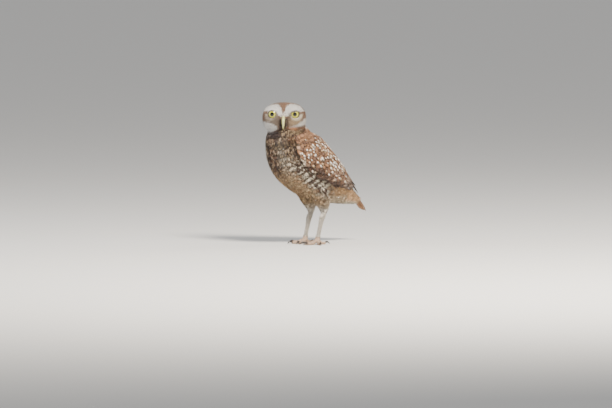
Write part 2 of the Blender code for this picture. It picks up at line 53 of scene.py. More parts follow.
# Body stations: y, z, half width, depth above and below the spine.
BODY = (
    (-49.0, 180.0, 29.5, 30.0, 30.5),
    (-46.5, 167.0, 33.0, 32.0, 37.5),
    (-39.5, 153.5, 36.5, 37.0, 46.0),
    (-27.0, 138.0, 38.5, 43.5, 49.5),
    (-10.0, 122.0, 38.5, 44.5, 47.0),
    (11.0, 106.5, 36.0, 39.5, 42.0),
    (34.0, 92.5, 31.0, 31.0, 31.5),
    (57.0, 81.5, 23.0, 20.0, 22.5),
    (78.0, 73.0, 15.5, 9.0, 15.5),
    (96.0, 64.0, 10.0, 2.5, 7.5),
)
SECTION_POWER = 2.2
WING_SHELL = (
    (30.0, 28.0, 30.0),
    (35.5, 31.5, 38.5),
    (39.0, 38.0, 47.0),
    (41.5, 45.0, 50.5),
    (41.5, 46.0, 49.5),
    (40.0, 42.5, 45.0),
    (36.0, 36.0, 34.0),
    (29.0, 26.0, 23.0),
    (20.5, 16.5, 15.0),
    (12.0, 9.0, 8.0),
)
# Station, then the angles of the folded wing's lower and upper edge.
WING_EDGES = (
    (0.85, 103.0, 70.0),
    (1.4, 109.0, 48.0),
    (2.5, 108.0, 30.0),
    (3.6, 104.0, 20.0),
    (5.0, 97.0, 14.0),
    (6.2, 89.0, 11.0),
    (7.3, 72.0, 12.0),
    (8.1, 44.0, 26.0),
)

HEAD_AT = (0.0, -54.0, 197.0)
HEAD_TURN = 47.0
EYE_AT = (16.4, -13.6, 7.2)
EYE_RADIUS = 9.4
EYE_OUT = 8.0
EYE_OPENING = 6.4
# The brow holds each upper lid this much lower than a round one, and the left one at a slant.
LID_PRESS = {"left": 0.54, "right": 0.70}
LID_SLANT = {"left": 0.20, "right": 0.0}
BILL_BASE = Vector((0.0, -27.0, 3.0))
NOSTRIL_AT = (-29.6, 0.2)
NOSTRIL_RADIUS = 0.9
NOSTRIL_PRESS = 0.55

LEG_X = 17.0
HOCK = {"left": (10.5, 52.0), "right": (13.0, 52.0)}
ANKLE = {"left": (-1.2, 9.0), "right": (2.6, 9.0)}

TAIL_ROOT = (0.0, 60.0, 97.0)
TAIL_LENGTH = 69.0
TAIL_DROOP = 28.0
TAIL_BEND = 34.0
TAIL_ROLL = 9.0
QUILL_WIDTH = 8.2
QUILL_STEP = 0.55

SKIN_VOXEL = 1.2
COAT_DEPTH = 2.6  # from the skin to the tips of the body feathers
FACE_DEPTH = 1.6
BAKE_PATCH = 0.003
LOCK_THICK = 0.06  # of one lock of barbs
MOST_BARS = 20.0
MARK_SCATTER = 0.7  # how far the edges of the face's markings stray
BODY_BARS = 2.0
FLANK_BARS = 2.6  # pale and dark bars in each station's length
UNDER_HEAD = 21.0  # body feathers nearer than this to the head's middle would be hidden
COVERTS = (0.35, 5.5)  # stations of the first and last row of coverts
WING_LAP = 16.0  # degrees of body feathers that reach in under the wing
THROAT_LINES = 4.2  # from one dark line of the throat to the next
HEAD_HALF = (35.5, 32.0, 28.0)  # half width, depth and height of the head
SOFT_LOCKS = 11  # locks of barbs in each body feather and covert


def smooth(rows, at):
    """Rows of numbers read at fractional row positions, by a Catmull-Rom curve through them."""
    rows = np.array(rows, float)
    at = np.clip(np.atleast_1d(np.asarray(at, float)), 0, len(rows) - 1)
    i = np.minimum(at.astype(int), len(rows) - 2)
    t = (at - i)[..., None]
    last = len(rows) - 1
    beyond = 2 * rows[last] - rows[last - 1]
    before = np.where((i > 0)[..., None], rows[np.maximum(i - 1, 0)], 2 * rows[0] - rows[1])
    after = np.where((i + 2 <= last)[..., None], rows[np.minimum(i + 2, last)], beyond)
    a, b = rows[i], rows[i + 1]
    return 0.5 * (
        2 * a
        + (b - before) * t
        + (2 * before - 5 * a + 4 * b - after) * t**2
        + (3 * a - before - 3 * b + after) * t**3
    )


def section_point(s, angle, sizes, grow):
    """Points on a shell round the spine, for stations and angles of any one shape."""
    s, angle, grow = np.broadcast_arrays(np.asarray(s, float), np.radians(angle), grow)
    centre = smooth(BODY, s)[..., :2]
    step = smooth(BODY, s + 0.05)[..., :2] - smooth(BODY, s - 0.05)[..., :2]
    tangent = step / np.linalg.norm(step, axis=-1, keepdims=True)
    dorsal = np.stack([-tangent[..., 1], tangent[..., 0]], axis=-1)
    sizes = smooth(sizes, s)
    wide, up, down = sizes[..., 0], sizes[..., 1], sizes[..., 2]
    sine, cosine = np.sin(angle), np.cos(angle)
    power = 2 / SECTION_POWER
    across = (wide + grow) * np.sign(sine) * np.abs(sine) ** power
    height = (np.where(cosine > 0, up, down) + grow) * np.sign(cosine) * np.abs(cosine) ** power
    lifted = centre + dorsal * height[..., None]
    return np.concatenate([across[..., None], lifted], axis=-1)


def torso_point(s, angle, grow=0.0):
    return section_point(s, angle, [row[2:] for row in BODY], grow)


def wing_point(s, angle, grow=0.0):
    return section_point(s, angle, WING_SHELL, grow)


def wing_edge(s):
    """Angles of the folded wing's lower and upper edge at station s."""
    rows = np.array(WING_EDGES)
    return np.interp(s, rows[:, 0], rows[:, 1]), np.interp(s, rows[:, 0], rows[:, 2])


def head_frame():
    return Matrix.Translation(HEAD_AT) @ Matrix.Rotation(math.radians(HEAD_TURN), 4, "Z")


def eye_frame(side):
    """Frame of a globe, with -Y along the way that the eye looks."""
    sign = 1 if side == "left" else -1
    centre = Matrix.Translation((sign * EYE_AT[0], EYE_AT[1], EYE_AT[2]))
    return head_frame() @ centre @ Matrix.Rotation(math.radians(sign * EYE_OUT), 4, "Z")


def leg_point(side, share):
    """Point of the shank's centre line, from the ankle at 0 to the hock at 1."""
    sign = 1 if side == "left" else -1
    (y0, z0), (y1, z1) = ANKLE[side], HOCK[side]
    return Vector((sign * LEG_X, y0 + (y1 - y0) * share, z0 + (z1 - z0) * share))


def placed(matrix, points):
    """Points of any shape moved by a 4 x 4 matrix."""
    m = np.array(matrix)
    return points @ m[:3, :3].T + m[:3, 3]


def unit(vectors):
    return vectors / np.maximum(np.linalg.norm(vectors, axis=-1, keepdims=True), 1e-9)


# Colours


def linear(code):
    """An sRGB hex colour as linear red, green, blue."""
    values = np.array([int(code[i : i + 2], 16) for i in (1, 3, 5)]) / 255
    return np.where(values <= 0.04045, values / 12.92, ((values + 0.055) / 1.055) ** 2.4)


CREAM = linear("#e9dcc4")
WHITE = linear("#f6f1e9")
BUFF = linear("#c4a780")
TAN = linear("#9f805d")
RUSSET = linear("#a16d47")
WARM_BROWN = linear("#8e684b")
BROWN = linear("#684c3b")
DARK_BROWN = linear("#3b2820")
UMBER = linear("#2b1d16")
FACE_GREY = linear("#837160")
DULL_BUFF = linear("#8d7760")


def blend(a, b, share):
    """Colour a turned into colour b by share, for arrays of shares."""
    share = np.clip(share, 0, 1)[..., None]
    return a * (1 - share) + b * share


def painted(ground, layers):
    """A ground colour with layers of other colours over it, each by its share."""
    for colour, share in layers:
        ground = blend(ground, colour, share)
    return ground


def bump(value, low, high, soft):
    """1 between low and high, and down to 0 over the distance soft on either side."""
    rise = np.clip((value - low) / soft + 0.5, 0, 1)
    fall = np.clip((high - value) / soft + 0.5, 0, 1)
    return rise * fall


# Materials

# The oval spot near a feather's tip, as shares of its width and length.
SPOT_HALF_WIDTH = 0.18
SPOT_HALF_LENGTH = 0.19
SPOT_ALONG = 0.80
SHAFT = (0.05, 0.03, 0.02)
MEAN_VANE = 12.0
FOOT_SCALE = 0.9
LID_CLOUD = 2.0
# Colours from the middle of the eye outwards, by the distance as a share of the globe's width.
IRIS = (
    (0.0, "#040404"),
    (0.152, "#040404"),
    (0.168, "#3f3d14"),
    (0.20, "#a39f2b"),
    (0.27, "#9c982b"),
    (0.315, "#5c591d"),
    (0.345, "#1a180e"),
    (1.0, "#15120d"),
)


def add(tree, kind, inputs=None, **settings):
    """Adds a node with its settings. An input is a value, an output, or a node for its first output."""
    made = tree.nodes.new(kind)
    for name, value in settings.items():
        setattr(made, name, value)
    for name, value in (inputs or {}).items():
        if isinstance(value, bpy.types.Node):
            value = value.outputs[0]
        if isinstance(value, bpy.types.NodeSocket):
            tree.links.new(value, made.inputs[name])
        else:
            made.inputs[name].default_value = value
    return made


def new_material(name):
    """An empty material with its tree, Principled shader and output."""
    material = bpy.data.materials.new(name)
    material.use_nodes = True
    return material, material.node_tree, material.node_tree.nodes["Principled BSDF"]


def set_shader(shader, **values):
    """Sets the shader's own sockets, whose names are given with lines for spaces."""
    for name, value in values.items():
        shader.inputs[name.replace("_", " ")].default_value = value


def set_ramp(ramp, stops):
    """Gives a colour ramp its stops, each a position and a linear colour."""
    elements = ramp.color_ramp.elements
    for k, (position, colour) in enumerate(stops):
        stop = elements[k] if k < 2 else elements.new(position)
        stop.position = position
        stop.color = (*colour, 1)


def spot_mask(tree, off_shaft, along, strength):
    """One oval over the shaft near the tip. A weaker spot is also a smaller one."""
    wide = add(tree, "ShaderNodeMath", {0: off_shaft, 1: SPOT_HALF_WIDTH}, operation="DIVIDE")
    ahead = add(tree, "ShaderNodeMath", {0: along, 1: SPOT_ALONG}, operation="SUBTRACT")
    long = add(tree, "ShaderNodeMath", {0: ahead, 1: SPOT_HALF_LENGTH}, operation="DIVIDE")
    wide = add(tree, "ShaderNodeMath", {0: wide, 1: wide}, operation="MULTIPLY")
    long = add(tree, "ShaderNodeMath", {0: long, 1: long}, operation="MULTIPLY")
    oval = add(tree, "ShaderNodeMath", {0: wide, 1: long}, operation="ADD")
    size = add(tree, "ShaderNodeMath", {0: strength, 1: 1.3}, operation="MULTIPLY")
    beyond = add(tree, "ShaderNodeMath", {0: oval, 1: size}, operation="SUBTRACT")
    inside = add(tree, "ShaderNodeMapRange", {"Value": beyond, "From Min": 0.1, "From Max": -0.2})
    shown = add(tree, "ShaderNodeMapRange", {"Value": strength, "From Min": 0.05, "From Max": 0.2})
    return add(tree, "ShaderNodeMath", {0: inside, 1: shown}, operation="MULTIPLY")


def bar_mask(tree, off_shaft, along, strength, number):
    """Bars across the vane, bent back towards its edges and stopping short of the shaft."""
    bowed = add(tree, "ShaderNodeMath", {0: off_shaft, 1: 0.25, 2: along}, operation="MULTIPLY_ADD")
    often = add(tree, "ShaderNodeMath", {0: number, 1: 2 * math.pi * MOST_BARS}, operation="MULTIPLY")
    turned = add(tree, "ShaderNodeMath", {0: bowed, 1: often}, operation="MULTIPLY")
    wave = add(tree, "ShaderNodeMath", {0: turned}, operation="SINE")
    bars = add(tree, "ShaderNodeMapRange", {"Value": wave, "From Min": 0.1, "From Max": 0.45})
    webs = add(tree, "ShaderNodeMapRange", {"Value": off_shaft, "From Min": 0.02, "From Max": 0.08})
    shown = add(tree, "ShaderNodeMath", {0: webs, 1: strength}, operation="MULTIPLY")
    return add(tree, "ShaderNodeMath", {0: bars, 1: shown}, operation="MULTIPLY")


def vane_marks(tree, off_shaft, along, pattern):
    """Where a vane's spots, bars and fringe show, from 0 to 1."""
    strength = add(tree, "ShaderNodeSeparateColor", {"Color": pattern})
    red, green, blue = strength.outputs
    spots = spot_mask(tree, off_shaft, along, red)
    bars = bar_mask(tree, off_shaft, along, green, pattern.outputs["Alpha"])
    tip = add(tree, "ShaderNodeMapRange", {"Value": along, "From Min": 0.72, "From Max": 0.95})
    fringe = add(tree, "ShaderNodeMath", {0: tip, 1: blue}, operation="MULTIPLY")
    marks = add(tree, "ShaderNodeMath", {0: spots, 1: bars}, operation="MAXIMUM")
    return add(tree, "ShaderNodeMath", {0: marks, 1: fringe}, operation="MAXIMUM")


def feather_material(name, barb_mm, roughness):
    """Feather keratin: matt barbs that catch a soft sheen, with marks that follow each vane.

    Markings is the ground colour and Marks that of its spots, bars and fringe. Pattern holds their strengths,
    with the number of bars from root to tip, as a share of MOST_BARS, as its fourth value.
    """
    material, tree, shader = new_material(name)
    lie = add(tree, "ShaderNodeUVMap", uv_map="Lie")
    place = add(tree, "ShaderNodeSeparateXYZ", {"Vector": lie})
    along = place.outputs["Y"]
    from_shaft = add(tree, "ShaderNodeMath", {0: place.outputs["X"], 1: 0.5}, operation="SUBTRACT")
    off_shaft = add(tree, "ShaderNodeMath", {0: from_shaft}, operation="ABSOLUTE")
    ground = add(tree, "ShaderNodeAttribute", attribute_name="Markings")
    marks = add(tree, "ShaderNodeAttribute", attribute_name="Marks")
    pattern = add(tree, "ShaderNodeAttribute", attribute_name="Pattern")
    marked = vane_marks(tree, off_shaft, along, pattern)
    mix = {"Factor": marked, "A": ground, "B": marks}
    coloured = add(tree, "ShaderNodeMix", mix, data_type="RGBA")
    # Painted shade: each vane is a little darker towards its base, where the feather above laps over it.
    base = add(tree, "ShaderNodeMapRange", {"Value": along, "From Max": 0.85, "To Min": 0.62, "To Max": 1.0})
    mix = {"Factor": 1.0, "A": coloured.outputs["Result"], "B": base}
    shaded = add(tree, "ShaderNodeMix", mix, data_type="RGBA", blend_type="MULTIPLY")
    # The shaft is a fine darker line.
    near = add(tree, "ShaderNodeMapRange", {"Value": off_shaft, "From Min": 0.03, "From Max": 0.015})
    shaft = add(tree, "ShaderNodeMath", {0: near, 1: 0.2}, operation="MULTIPLY")
    mix = {"Factor": shaft, "A": shaded.outputs["Result"], "B": (*SHAFT, 1)}
    lined = add(tree, "ShaderNodeMix", mix, data_type="RGBA")
    tree.links.new(lined.outputs["Result"], shader.inputs["Base Color"])
    # Barbs leave the shaft at a slant; one ridge every barb_mm on a vane of mean length.
    slant = add(tree, "ShaderNodeMath", {0: off_shaft, 1: -0.9, 2: along}, operation="MULTIPLY_ADD")
    often = 2 * math.pi * MEAN_VANE / barb_mm
    turned = add(tree, "ShaderNodeMath", {0: slant, 1: often}, operation="MULTIPLY")
    ridges = add(tree, "ShaderNodeMath", {0: turned}, operation="SINE")
    barbs = add(tree, "ShaderNodeBump", {"Height": ridges, "Strength": 0.3, "Distance": 0.0001})
    tree.links.new(barbs.outputs["Normal"], shader.inputs["Normal"])
    set_shader(shader, Roughness=roughness, IOR=1.54, Specular_IOR_Level=0.15)
    set_shader(shader, Sheen_Weight=0.12, Sheen_Roughness=0.5)
    return material


def skin_material():
    """Skin and down under the feathers: the same markings, mottled by tufts of down and darkened throughout
    as painted shade in the gaps between the feathers.
    """
    material, tree, shader = new_material("down_over_skin")
    ground = add(tree, "ShaderNodeAttribute", attribute_name="Markings")
    place = add(tree, "ShaderNodeTexCoord")
    # Tufts of down about 1.1 mm across.
    grain = {"Vector": place.outputs["Object"], "Scale": 900.0, "Detail": 3.0}
    fluff = add(tree, "ShaderNodeTexNoise", grain)
    # Painted shade: the down shows at half to nine tenths of its markings' brightness, varied by its tufts.
    shade = add(tree, "ShaderNodeMapRange", {"Value": fluff, "To Min": 0.5, "To Max": 0.9})
    mix = {"Factor": 1.0, "A": ground, "B": shade}
    down_in_painted_shade = add(tree, "ShaderNodeMix", mix, data_type="RGBA", blend_type="MULTIPLY")
    tree.links.new(down_in_painted_shade.outputs["Result"], shader.inputs["Base Color"])
    rough = add(tree, "ShaderNodeBump", {"Height": fluff, "Strength": 0.6, "Distance": 0.0006})
    tree.links.new(rough.outputs["Normal"], shader.inputs["Normal"])
    set_shader(shader, Roughness=0.95)
    return material


def horn_material(name, dark, pale, gloss, grain_mm):
    """Keratin horn: smooth, faintly streaked along its growth, half shiny."""
    material, tree, shader = new_material(name)
    place = add(tree, "ShaderNodeTexCoord")
    grain = {"Vector": place.outputs["Object"], "Scale": 1 / (grain_mm * MM), "Detail": 4.0, "Roughness": 0.6}
    streaks = add(tree, "ShaderNodeTexNoise", grain)
    ramp = add(tree, "ShaderNodeValToRGB", {"Fac": streaks})
    set_ramp(ramp, ((0.35, linear(dark)), (0.65, linear(pale))))
    tree.links.new(ramp.outputs["Color"], shader.inputs["Base Color"])
    grown = add(tree, "ShaderNodeBump", {"Height": streaks, "Strength": 0.25, "Distance": 0.0002})
    tree.links.new(grown.outputs["Normal"], shader.inputs["Normal"])
    set_shader(shader, Roughness=gloss, IOR=1.54)
    return material


def foot_material():
    """Foot skin: pinkish tan scales, darker in the creases between them."""
    material, tree, shader = new_material("scaled_foot_skin")
    place = add(tree, "ShaderNodeTexCoord")
    size = {"Vector": place.outputs["Object"], "Scale": 1 / (FOOT_SCALE * MM), "Randomness": 0.7}
    scales = add(tree, "ShaderNodeTexVoronoi", size, feature="DISTANCE_TO_EDGE")
    edge = scales.outputs["Distance"]
    ramp = add(tree, "ShaderNodeValToRGB", {"Fac": edge})
    set_ramp(ramp, ((0.0, linear("#6d5546")), (0.16, linear("#b49a82"))))
    tree.links.new(ramp.outputs["Color"], shader.inputs["Base Color"])
    relief = add(tree, "ShaderNodeBump", {"Height": edge, "Strength": 0.8, "Distance": 0.0006})
    tree.links.new(relief.outputs["Normal"], shader.inputs["Normal"])
    set_shader(shader, Roughness=0.62)
    return material


def eye_material():
    """The eye: a black pupil, a yellow-green iris with radial fibres and a dark rim, under a wet cornea."""
    material, tree, shader = new_material("wet_iris")
    disc = add(tree, "ShaderNodeUVMap", uv_map="Iris")
    spot = add(tree, "ShaderNodeVectorMath", {0: disc, 1: (0.5, 0.5, 0)}, operation="SUBTRACT")
    radius = add(tree, "ShaderNodeVectorMath", {0: spot}, operation="LENGTH").outputs["Value"]
    turned = add(tree, "ShaderNodeSeparateXYZ", {"Vector": spot})
    angle = add(tree, "ShaderNodeMath", {0: turned.outputs["Y"], 1: turned.outputs["X"]}, operation="ARCTAN2")
    fibre_place = add(tree, "ShaderNodeCombineXYZ", {"X": angle, "Y": radius})
    fibres = add(tree, "ShaderNodeTexNoise", {"Vector": fibre_place, "Scale": 9.0, "Detail": 3.0})
    wobble = add(tree, "ShaderNodeMath", {0: fibres, 1: 0.02}, operation="MULTIPLY")
    at = add(tree, "ShaderNodeMath", {0: radius, 1: wobble}, operation="ADD")
    ramp = add(tree, "ShaderNodeValToRGB", {"Fac": at})
    set_ramp(ramp, [(position, linear(code)) for position, code in IRIS])
    tree.links.new(ramp.outputs["Color"], shader.inputs["Base Color"])
    set_shader(shader, Roughness=0.12, IOR=1.376, Specular_IOR_Level=0.15)
    set_shader(shader, Coat_Weight=1.0, Coat_Roughness=0.02)
    return material


def lid_material():
    """Bare lid skin: dark and matt, a little cloudy from spot to spot. The dark is partly the lids' own
    colour and partly painted shade from the brow over the eye.
    """
    material, tree, shader = new_material("lid_skin_with_brow_shade")
    place = add(tree, "ShaderNodeTexCoord")
    grain = {"Vector": place.outputs["Object"], "Scale": 1 / (LID_CLOUD * MM)}
    cloud = add(tree, "ShaderNodeTexNoise", grain)
    ramp = add(tree, "ShaderNodeValToRGB", {"Fac": cloud})
    # The lids' own dark, deepened as painted shade under the brow.
    set_ramp(ramp, ((0.0, linear("#3d322b") * 0.75), (1.0, linear("#3d322b"))))
    tree.links.new(ramp.outputs["Color"], shader.inputs["Base Color"])
    set_shader(shader, Roughness=0.7)
    return material


# Meshes


def finish_piece(obj, material, nodes=()):
    """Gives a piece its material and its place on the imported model."""
    obj.data.materials.clear()
    obj.data.materials.append(material)
    obj.data.shade_smooth()
    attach(obj, "root")
    if nodes:
        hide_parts(*nodes)
    return obj


def from_bmesh(name, bm):
    """A finished bmesh in the bird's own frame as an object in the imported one."""
    bmesh.ops.recalc_face_normals(bm, faces=bm.faces)
    mesh = bpy.data.meshes.new(name)
    bm.to_mesh(mesh)
    bm.free()
    mesh.transform(Matrix.Scale(MM, 4) @ Matrix.Translation(SHIFT))
    obj = bpy.data.objects.new(name, mesh)
    bpy.context.collection.objects.link(obj)
    return obj


def grow_ring(bm, ring):
    """Extrudes a closed ring of points, and gives the new ring in the same order."""
    edges = {e for v in ring for e in v.link_edges if all(end in ring for end in e.verts)}
    grown = bmesh.ops.extrude_edge_only(bm, edges=list(edges))["geom"]
    return [g for g in grown if isinstance(g, bmesh.types.BMVert)]


def tube(name, rows, side, sides, count):
    """A body drawn along x, y, z, half width, half height rows, from a circle extruded row by row."""
    at = np.linspace(0, len(rows) - 1, count)
    values = smooth(rows, at)
    steps = smooth(rows, at + 0.05)[:, :3] - smooth(rows, at - 0.05)[:, :3]
    bm = bmesh.new()
    ring = bmesh.ops.create_circle(bm, cap_ends=False, segments=sides, radius=1.0)["verts"]
    shape = [v.co.copy() for v in ring]
    for k, (value, step) in enumerate(zip(values, steps)):
        tangent = Vector(step).normalized()
        across = (Vector(side) - tangent * Vector(side).dot(tangent)).normalized()
        upward = across.cross(tangent)
        if k:
            ring = grow_ring(bm, ring)
        for vertex, spot in zip(ring, shape):
            beside = across * float(value[3]) * spot.x
            vertex.co = Vector(value[:3]) + beside + upward * float(value[4]) * spot.y
    bmesh.ops.holes_fill(bm, edges=[e for e in bm.edges if e.is_boundary], sides=0)
    return from_bmesh(name, bm)


def vane_faces(rows, columns):
    """Corners of a closed vane's faces, each corner's row and column, and the vane's number of points."""
    inner = (rows - 2) * (columns - 2)
    top = np.arange(rows * columns).reshape(rows, columns)
    low = top.copy()
    low[1:-1, 1:-1] = rows * columns + np.arange(inner).reshape(rows - 2, columns - 2)
    quads, spots = [], []
    for i in range(rows - 1):
        for j in range(columns - 1):
            over = ((i, j), (i, j + 1), (i + 1, j + 1), (i + 1, j))
            under = ((i, j), (i + 1, j), (i + 1, j + 1), (i, j + 1))
            quads.append([top[spot] for spot in over])
            quads.append([low[spot] for spot in under])
            spots += over + under
    return np.array(quads), np.array(spots), rows * columns + inner


def paint(mesh, label, colours):
    """Stores each point's colour, with a fourth value where it has one."""
    full = np.ones((len(mesh.vertices), 4), np.float32)
    full[:, : colours.shape[1]] = colours
    mesh.attributes.new(label, "FLOAT_COLOR", "POINT").data.foreach_set("color", full.reshape(-1))


def add_map(mesh, label, uv):
    """Stores a UV map, given for each corner of each face."""
    mesh.uv_layers.new(name=label)
    mesh.uv_layers[label].data.foreach_set("uv", uv.astype(np.float32).reshape(-1))


def knit(name, grid, thick, lie, root_uv, colours):
    """One mesh of many closed vanes.

    grid is vanes x rows x columns x 3. A vane's underside shares its border and lies thick below inside it.
    """
    count, rows, columns, _ = grid.shape
    along = np.gradient(grid, axis=1)
    across = np.gradient(grid, axis=2)
    normal = unit(np.cross(across, along))
    below = grid[:, 1:-1, 1:-1] - normal[:, 1:-1, 1:-1] * thick
    points = np.concatenate([grid.reshape(count, -1, 3), below.reshape(count, -1, 3)], axis=1)
    quads, spots, size = vane_faces(rows, columns)
    faces = (np.arange(count)[:, None, None] * size + quads[None]).reshape(-1)
    mesh = bpy.data.meshes.new(name)
    mesh.vertices.add(count * size)
    mesh.vertices.foreach_set("co", ((points + SHIFT) * MM).astype(np.float32).reshape(-1))
    mesh.loops.add(len(faces))
    mesh.loops.foreach_set("vertex_index", faces.astype(np.int32))
    mesh.polygons.add(len(faces) // 4)
    mesh.polygons.foreach_set("loop_start", np.arange(0, len(faces), 4, dtype=np.int32))
    mesh.update(calc_edges=True)
    uv = np.broadcast_to(lie, (count, rows, columns, 2))[:, spots[:, 0], spots[:, 1]]
    add_map(mesh, "OFBake", root_uv[:, None] + (uv - 0.5) * BAKE_PATCH)
    add_map(mesh, "Lie", uv)
    for label, values in colours.items():
        paint(mesh, label, np.repeat(values, size, axis=0))
    obj = bpy.data.objects.new(name, mesh)
    bpy.context.collection.objects.link(obj)
    return obj


def lie_map(rows, columns):
    """Place on a vane: across from 0 to 1, and along from its root at 0 to its tip at 1."""
    lie = np.zeros((rows, columns, 2))
    lie[..., 0] = np.linspace(0, 1, columns)[None]
    lie[..., 1] = np.linspace(0, 1, rows)[:, None]
    return lie


def ragged(draw, count, columns, depth):
    """How far each column of a vane stops short of its tip, so that the edge is a little frayed."""
    return draw.uniform(0, depth, (count, columns)) * draw.choice((0.2, 1.0), (count, columns))


# Plumage on the surfaces of the body and the folded wing

VANE_WIDTHS = (0.35, 0.75, 0.98, 1.0, 0.98, 0.9, 0.66)


def surface_vanes(surface, roots, tips, widths, lifts, tilt, camber, fray, draw, columns=5, tip_round=0.12):
    """Grids of vanes between root and tip (station, angle) pairs on a surface."""
    rows = len(VANE_WIDTHS)
    share = np.linspace(0, 1, rows)
    line = roots[:, None] * (1 - share[None, :, None]) + tips[:, None] * share[None, :, None]
    s, angle = line[..., 0], line[..., 1]
    lift = smooth(np.array(lifts)[:, None], share * (len(lifts) - 1))[:, 0]
    per_degree = np.linalg.norm(surface(s, angle + 1.0) - surface(s, angle), axis=-1)
    half = widths[:, None] * np.array(VANE_WIDTHS) / 2 / per_degree
    across = np.linspace(-1, 1, columns)
    angles = angle[..., None] + half[..., None] * across
    length = (tips - roots)[:, 0]
    short = ragged(draw, len(roots), columns, fray) + tip_round * across**2
    stations = s[..., None] - short[:, None] * length[:, None, None] * share[None, :, None] ** 3
    heights = lift[None, :, None] + tilt * (across + 1) / 2 - camber * across**2
    return surface(stations, angles, heights)


def frames_on(surface, roots, tips, steps=9):
    """Centre line, sideways and outward directions of feathers between (station, angle) pairs."""
    share = np.linspace(0, 1, steps)
    line = roots[:, None] * (1 - share)[None, :, None] + tips[:, None] * share[None, :, None]
    s, angle = line[..., 0], line[..., 1]
    centre = surface(s, angle)
    side = unit(surface(s, angle + 1.0) - surface(s, angle - 1.0))
    ahead = unit(np.gradient(centre, axis=1))
    return centre, side, unit(np.cross(side, ahead))


def fans(frames, widths, lifts, locks, fray, camber, lift_noise, draw, rows=4):
    """Soft feathers, each a fan of narrow barb locks that leave its shaft and end along a round, frayed tip.

    Gives the grids of the locks, their places on the feather, and the number of the feather that each is of.
    """
    centre, side, out = frames
    count, steps, _ = centre.shape
    spread = np.linspace(-0.9, 0.9, locks) if locks > 1 else np.zeros(1)
    u_end = spread[None] + draw.uniform(-0.5, 0.5, (count, locks)) / locks
    v_start = 0.30 * (1 - np.abs(u_end))
    v_end = 1 - 0.28 * u_end**2 - draw.uniform(0, fray, (count, locks))
    t = np.linspace(0, 1, rows)
    u = u_end[..., None] * t**0.6
    v = np.clip(v_start[..., None] + (v_end - v_start)[..., None] * t, 0, 1)
    taper = np.interp(t, (0, 0.35, 0.75, 1.0), (0.7, 1.0, 0.75, 0.16))
    thin = 1.35 / locks * taper * draw.uniform(0.8, 1.2, (count, locks, 1))
    at = v * (steps - 1)
    low = np.minimum(at.astype(int), steps - 2)
    part = (at - low)[..., None]
    feather = np.arange(count)[:, None, None]

    def read(rows_of):
        return rows_of[feather, low] * (1 - part) + rows_of[feather, low + 1] * part

    lift = smooth(np.array(lifts)[:, None], v * (len(lifts) - 1))[..., 0]
    lift = lift + draw.uniform(-1, 1, (count, locks, 1)) * lift_noise * t
    half = widths[:, None, None] / 2
    spot, sideways, outward = read(centre), read(side), read(out)
    edges = np.array((-1.0, 0.0, 1.0))
    wide = u[..., None] + thin[..., None] * edges
    ridge = -0.35 * np.abs(edges) * (thin * half)[..., None]
    height = (lift - camber * u**2)[..., None] + ridge
    grid = (
        spot[..., None, :]
        + sideways[..., None, :] * (half[..., None] * wide)[..., None]
        + outward[..., None, :] * height[..., None]
    )
    lie = np.stack([0.5 + 0.5 * wide, np.broadcast_to(v[..., None], wide.shape)], axis=-1)
    owner = np.repeat(np.arange(count), locks)
    return grid.reshape(-1, rows, 3, 3), lie.reshape(-1, rows, 3, 2), owner


def knit_fans(name, made, root_uv, colours):
    """One mesh of the locks of many soft feathers, each lock in its feather's colours."""
    grid, lie, owner = made
    own = {label: values[owner] for label, values in colours.items()}
    return knit(name, grid, LOCK_THICK, lie, root_uv[owner], own)


def mirrored(grid):
    """Vanes of the bird's left side moved over to its right."""
    return grid[:, :, ::-1] * np.array((-1, 1, 1))


def off_head(points):
    """Distance of points from the middle of the head."""
    return np.linalg.norm(points - np.array(HEAD_AT), axis=1)


def body_uv(roots):
    """Place of a root on the unrolled body: angle across and station up."""
    around = (roots[:, 1] % 360) / 360
    return np.stack([0.02 + 0.96 * around, 0.02 + 0.96 * roots[:, 0] / 9.5], axis=1)


def varied(colours, draw, amount):
    """Each tuft's colour a little lighter or darker than its neighbours'."""
    return np.clip(colours * draw.normal(1.0, amount, (len(colours), 1)), 0, 1)


def chest_colours(s, angle, turn, pick, draw):
    """Dark, mid and buff feathers side by side, palest in a streak on either side of the middle."""
    patch = np.sin(s * 15 + 1.5 * np.sin(angle / 9)) * np.sin(angle / 2.6 + 2 * np.sin(s * 3))
    light = (patch + draw.uniform(-0.6, 0.6, len(s)) > 0.3)[:, None]
    chest = np.where(light, DULL_BUFF, np.where(pick < 0.5, DARK_BROWN * 0.8, BROWN * 0.65))
    return blend(chest, CREAM * 0.85, bump(turn, 140, 160, 12) * bump(s, 0.6, 3.2, 0.8) * 0.3)


def flank_colours(s, angle, draw):
    """Pale and dark bars by turns, across the flank."""
    wave = np.sin(s * 2 * math.pi * FLANK_BARS + angle / 14) + draw.uniform(-0.22, 0.22, len(s))
    return blend(CREAM * 0.85 * np.ones((len(s), 1)), BROWN * 0.5, wave * 2.5 + 0.5)


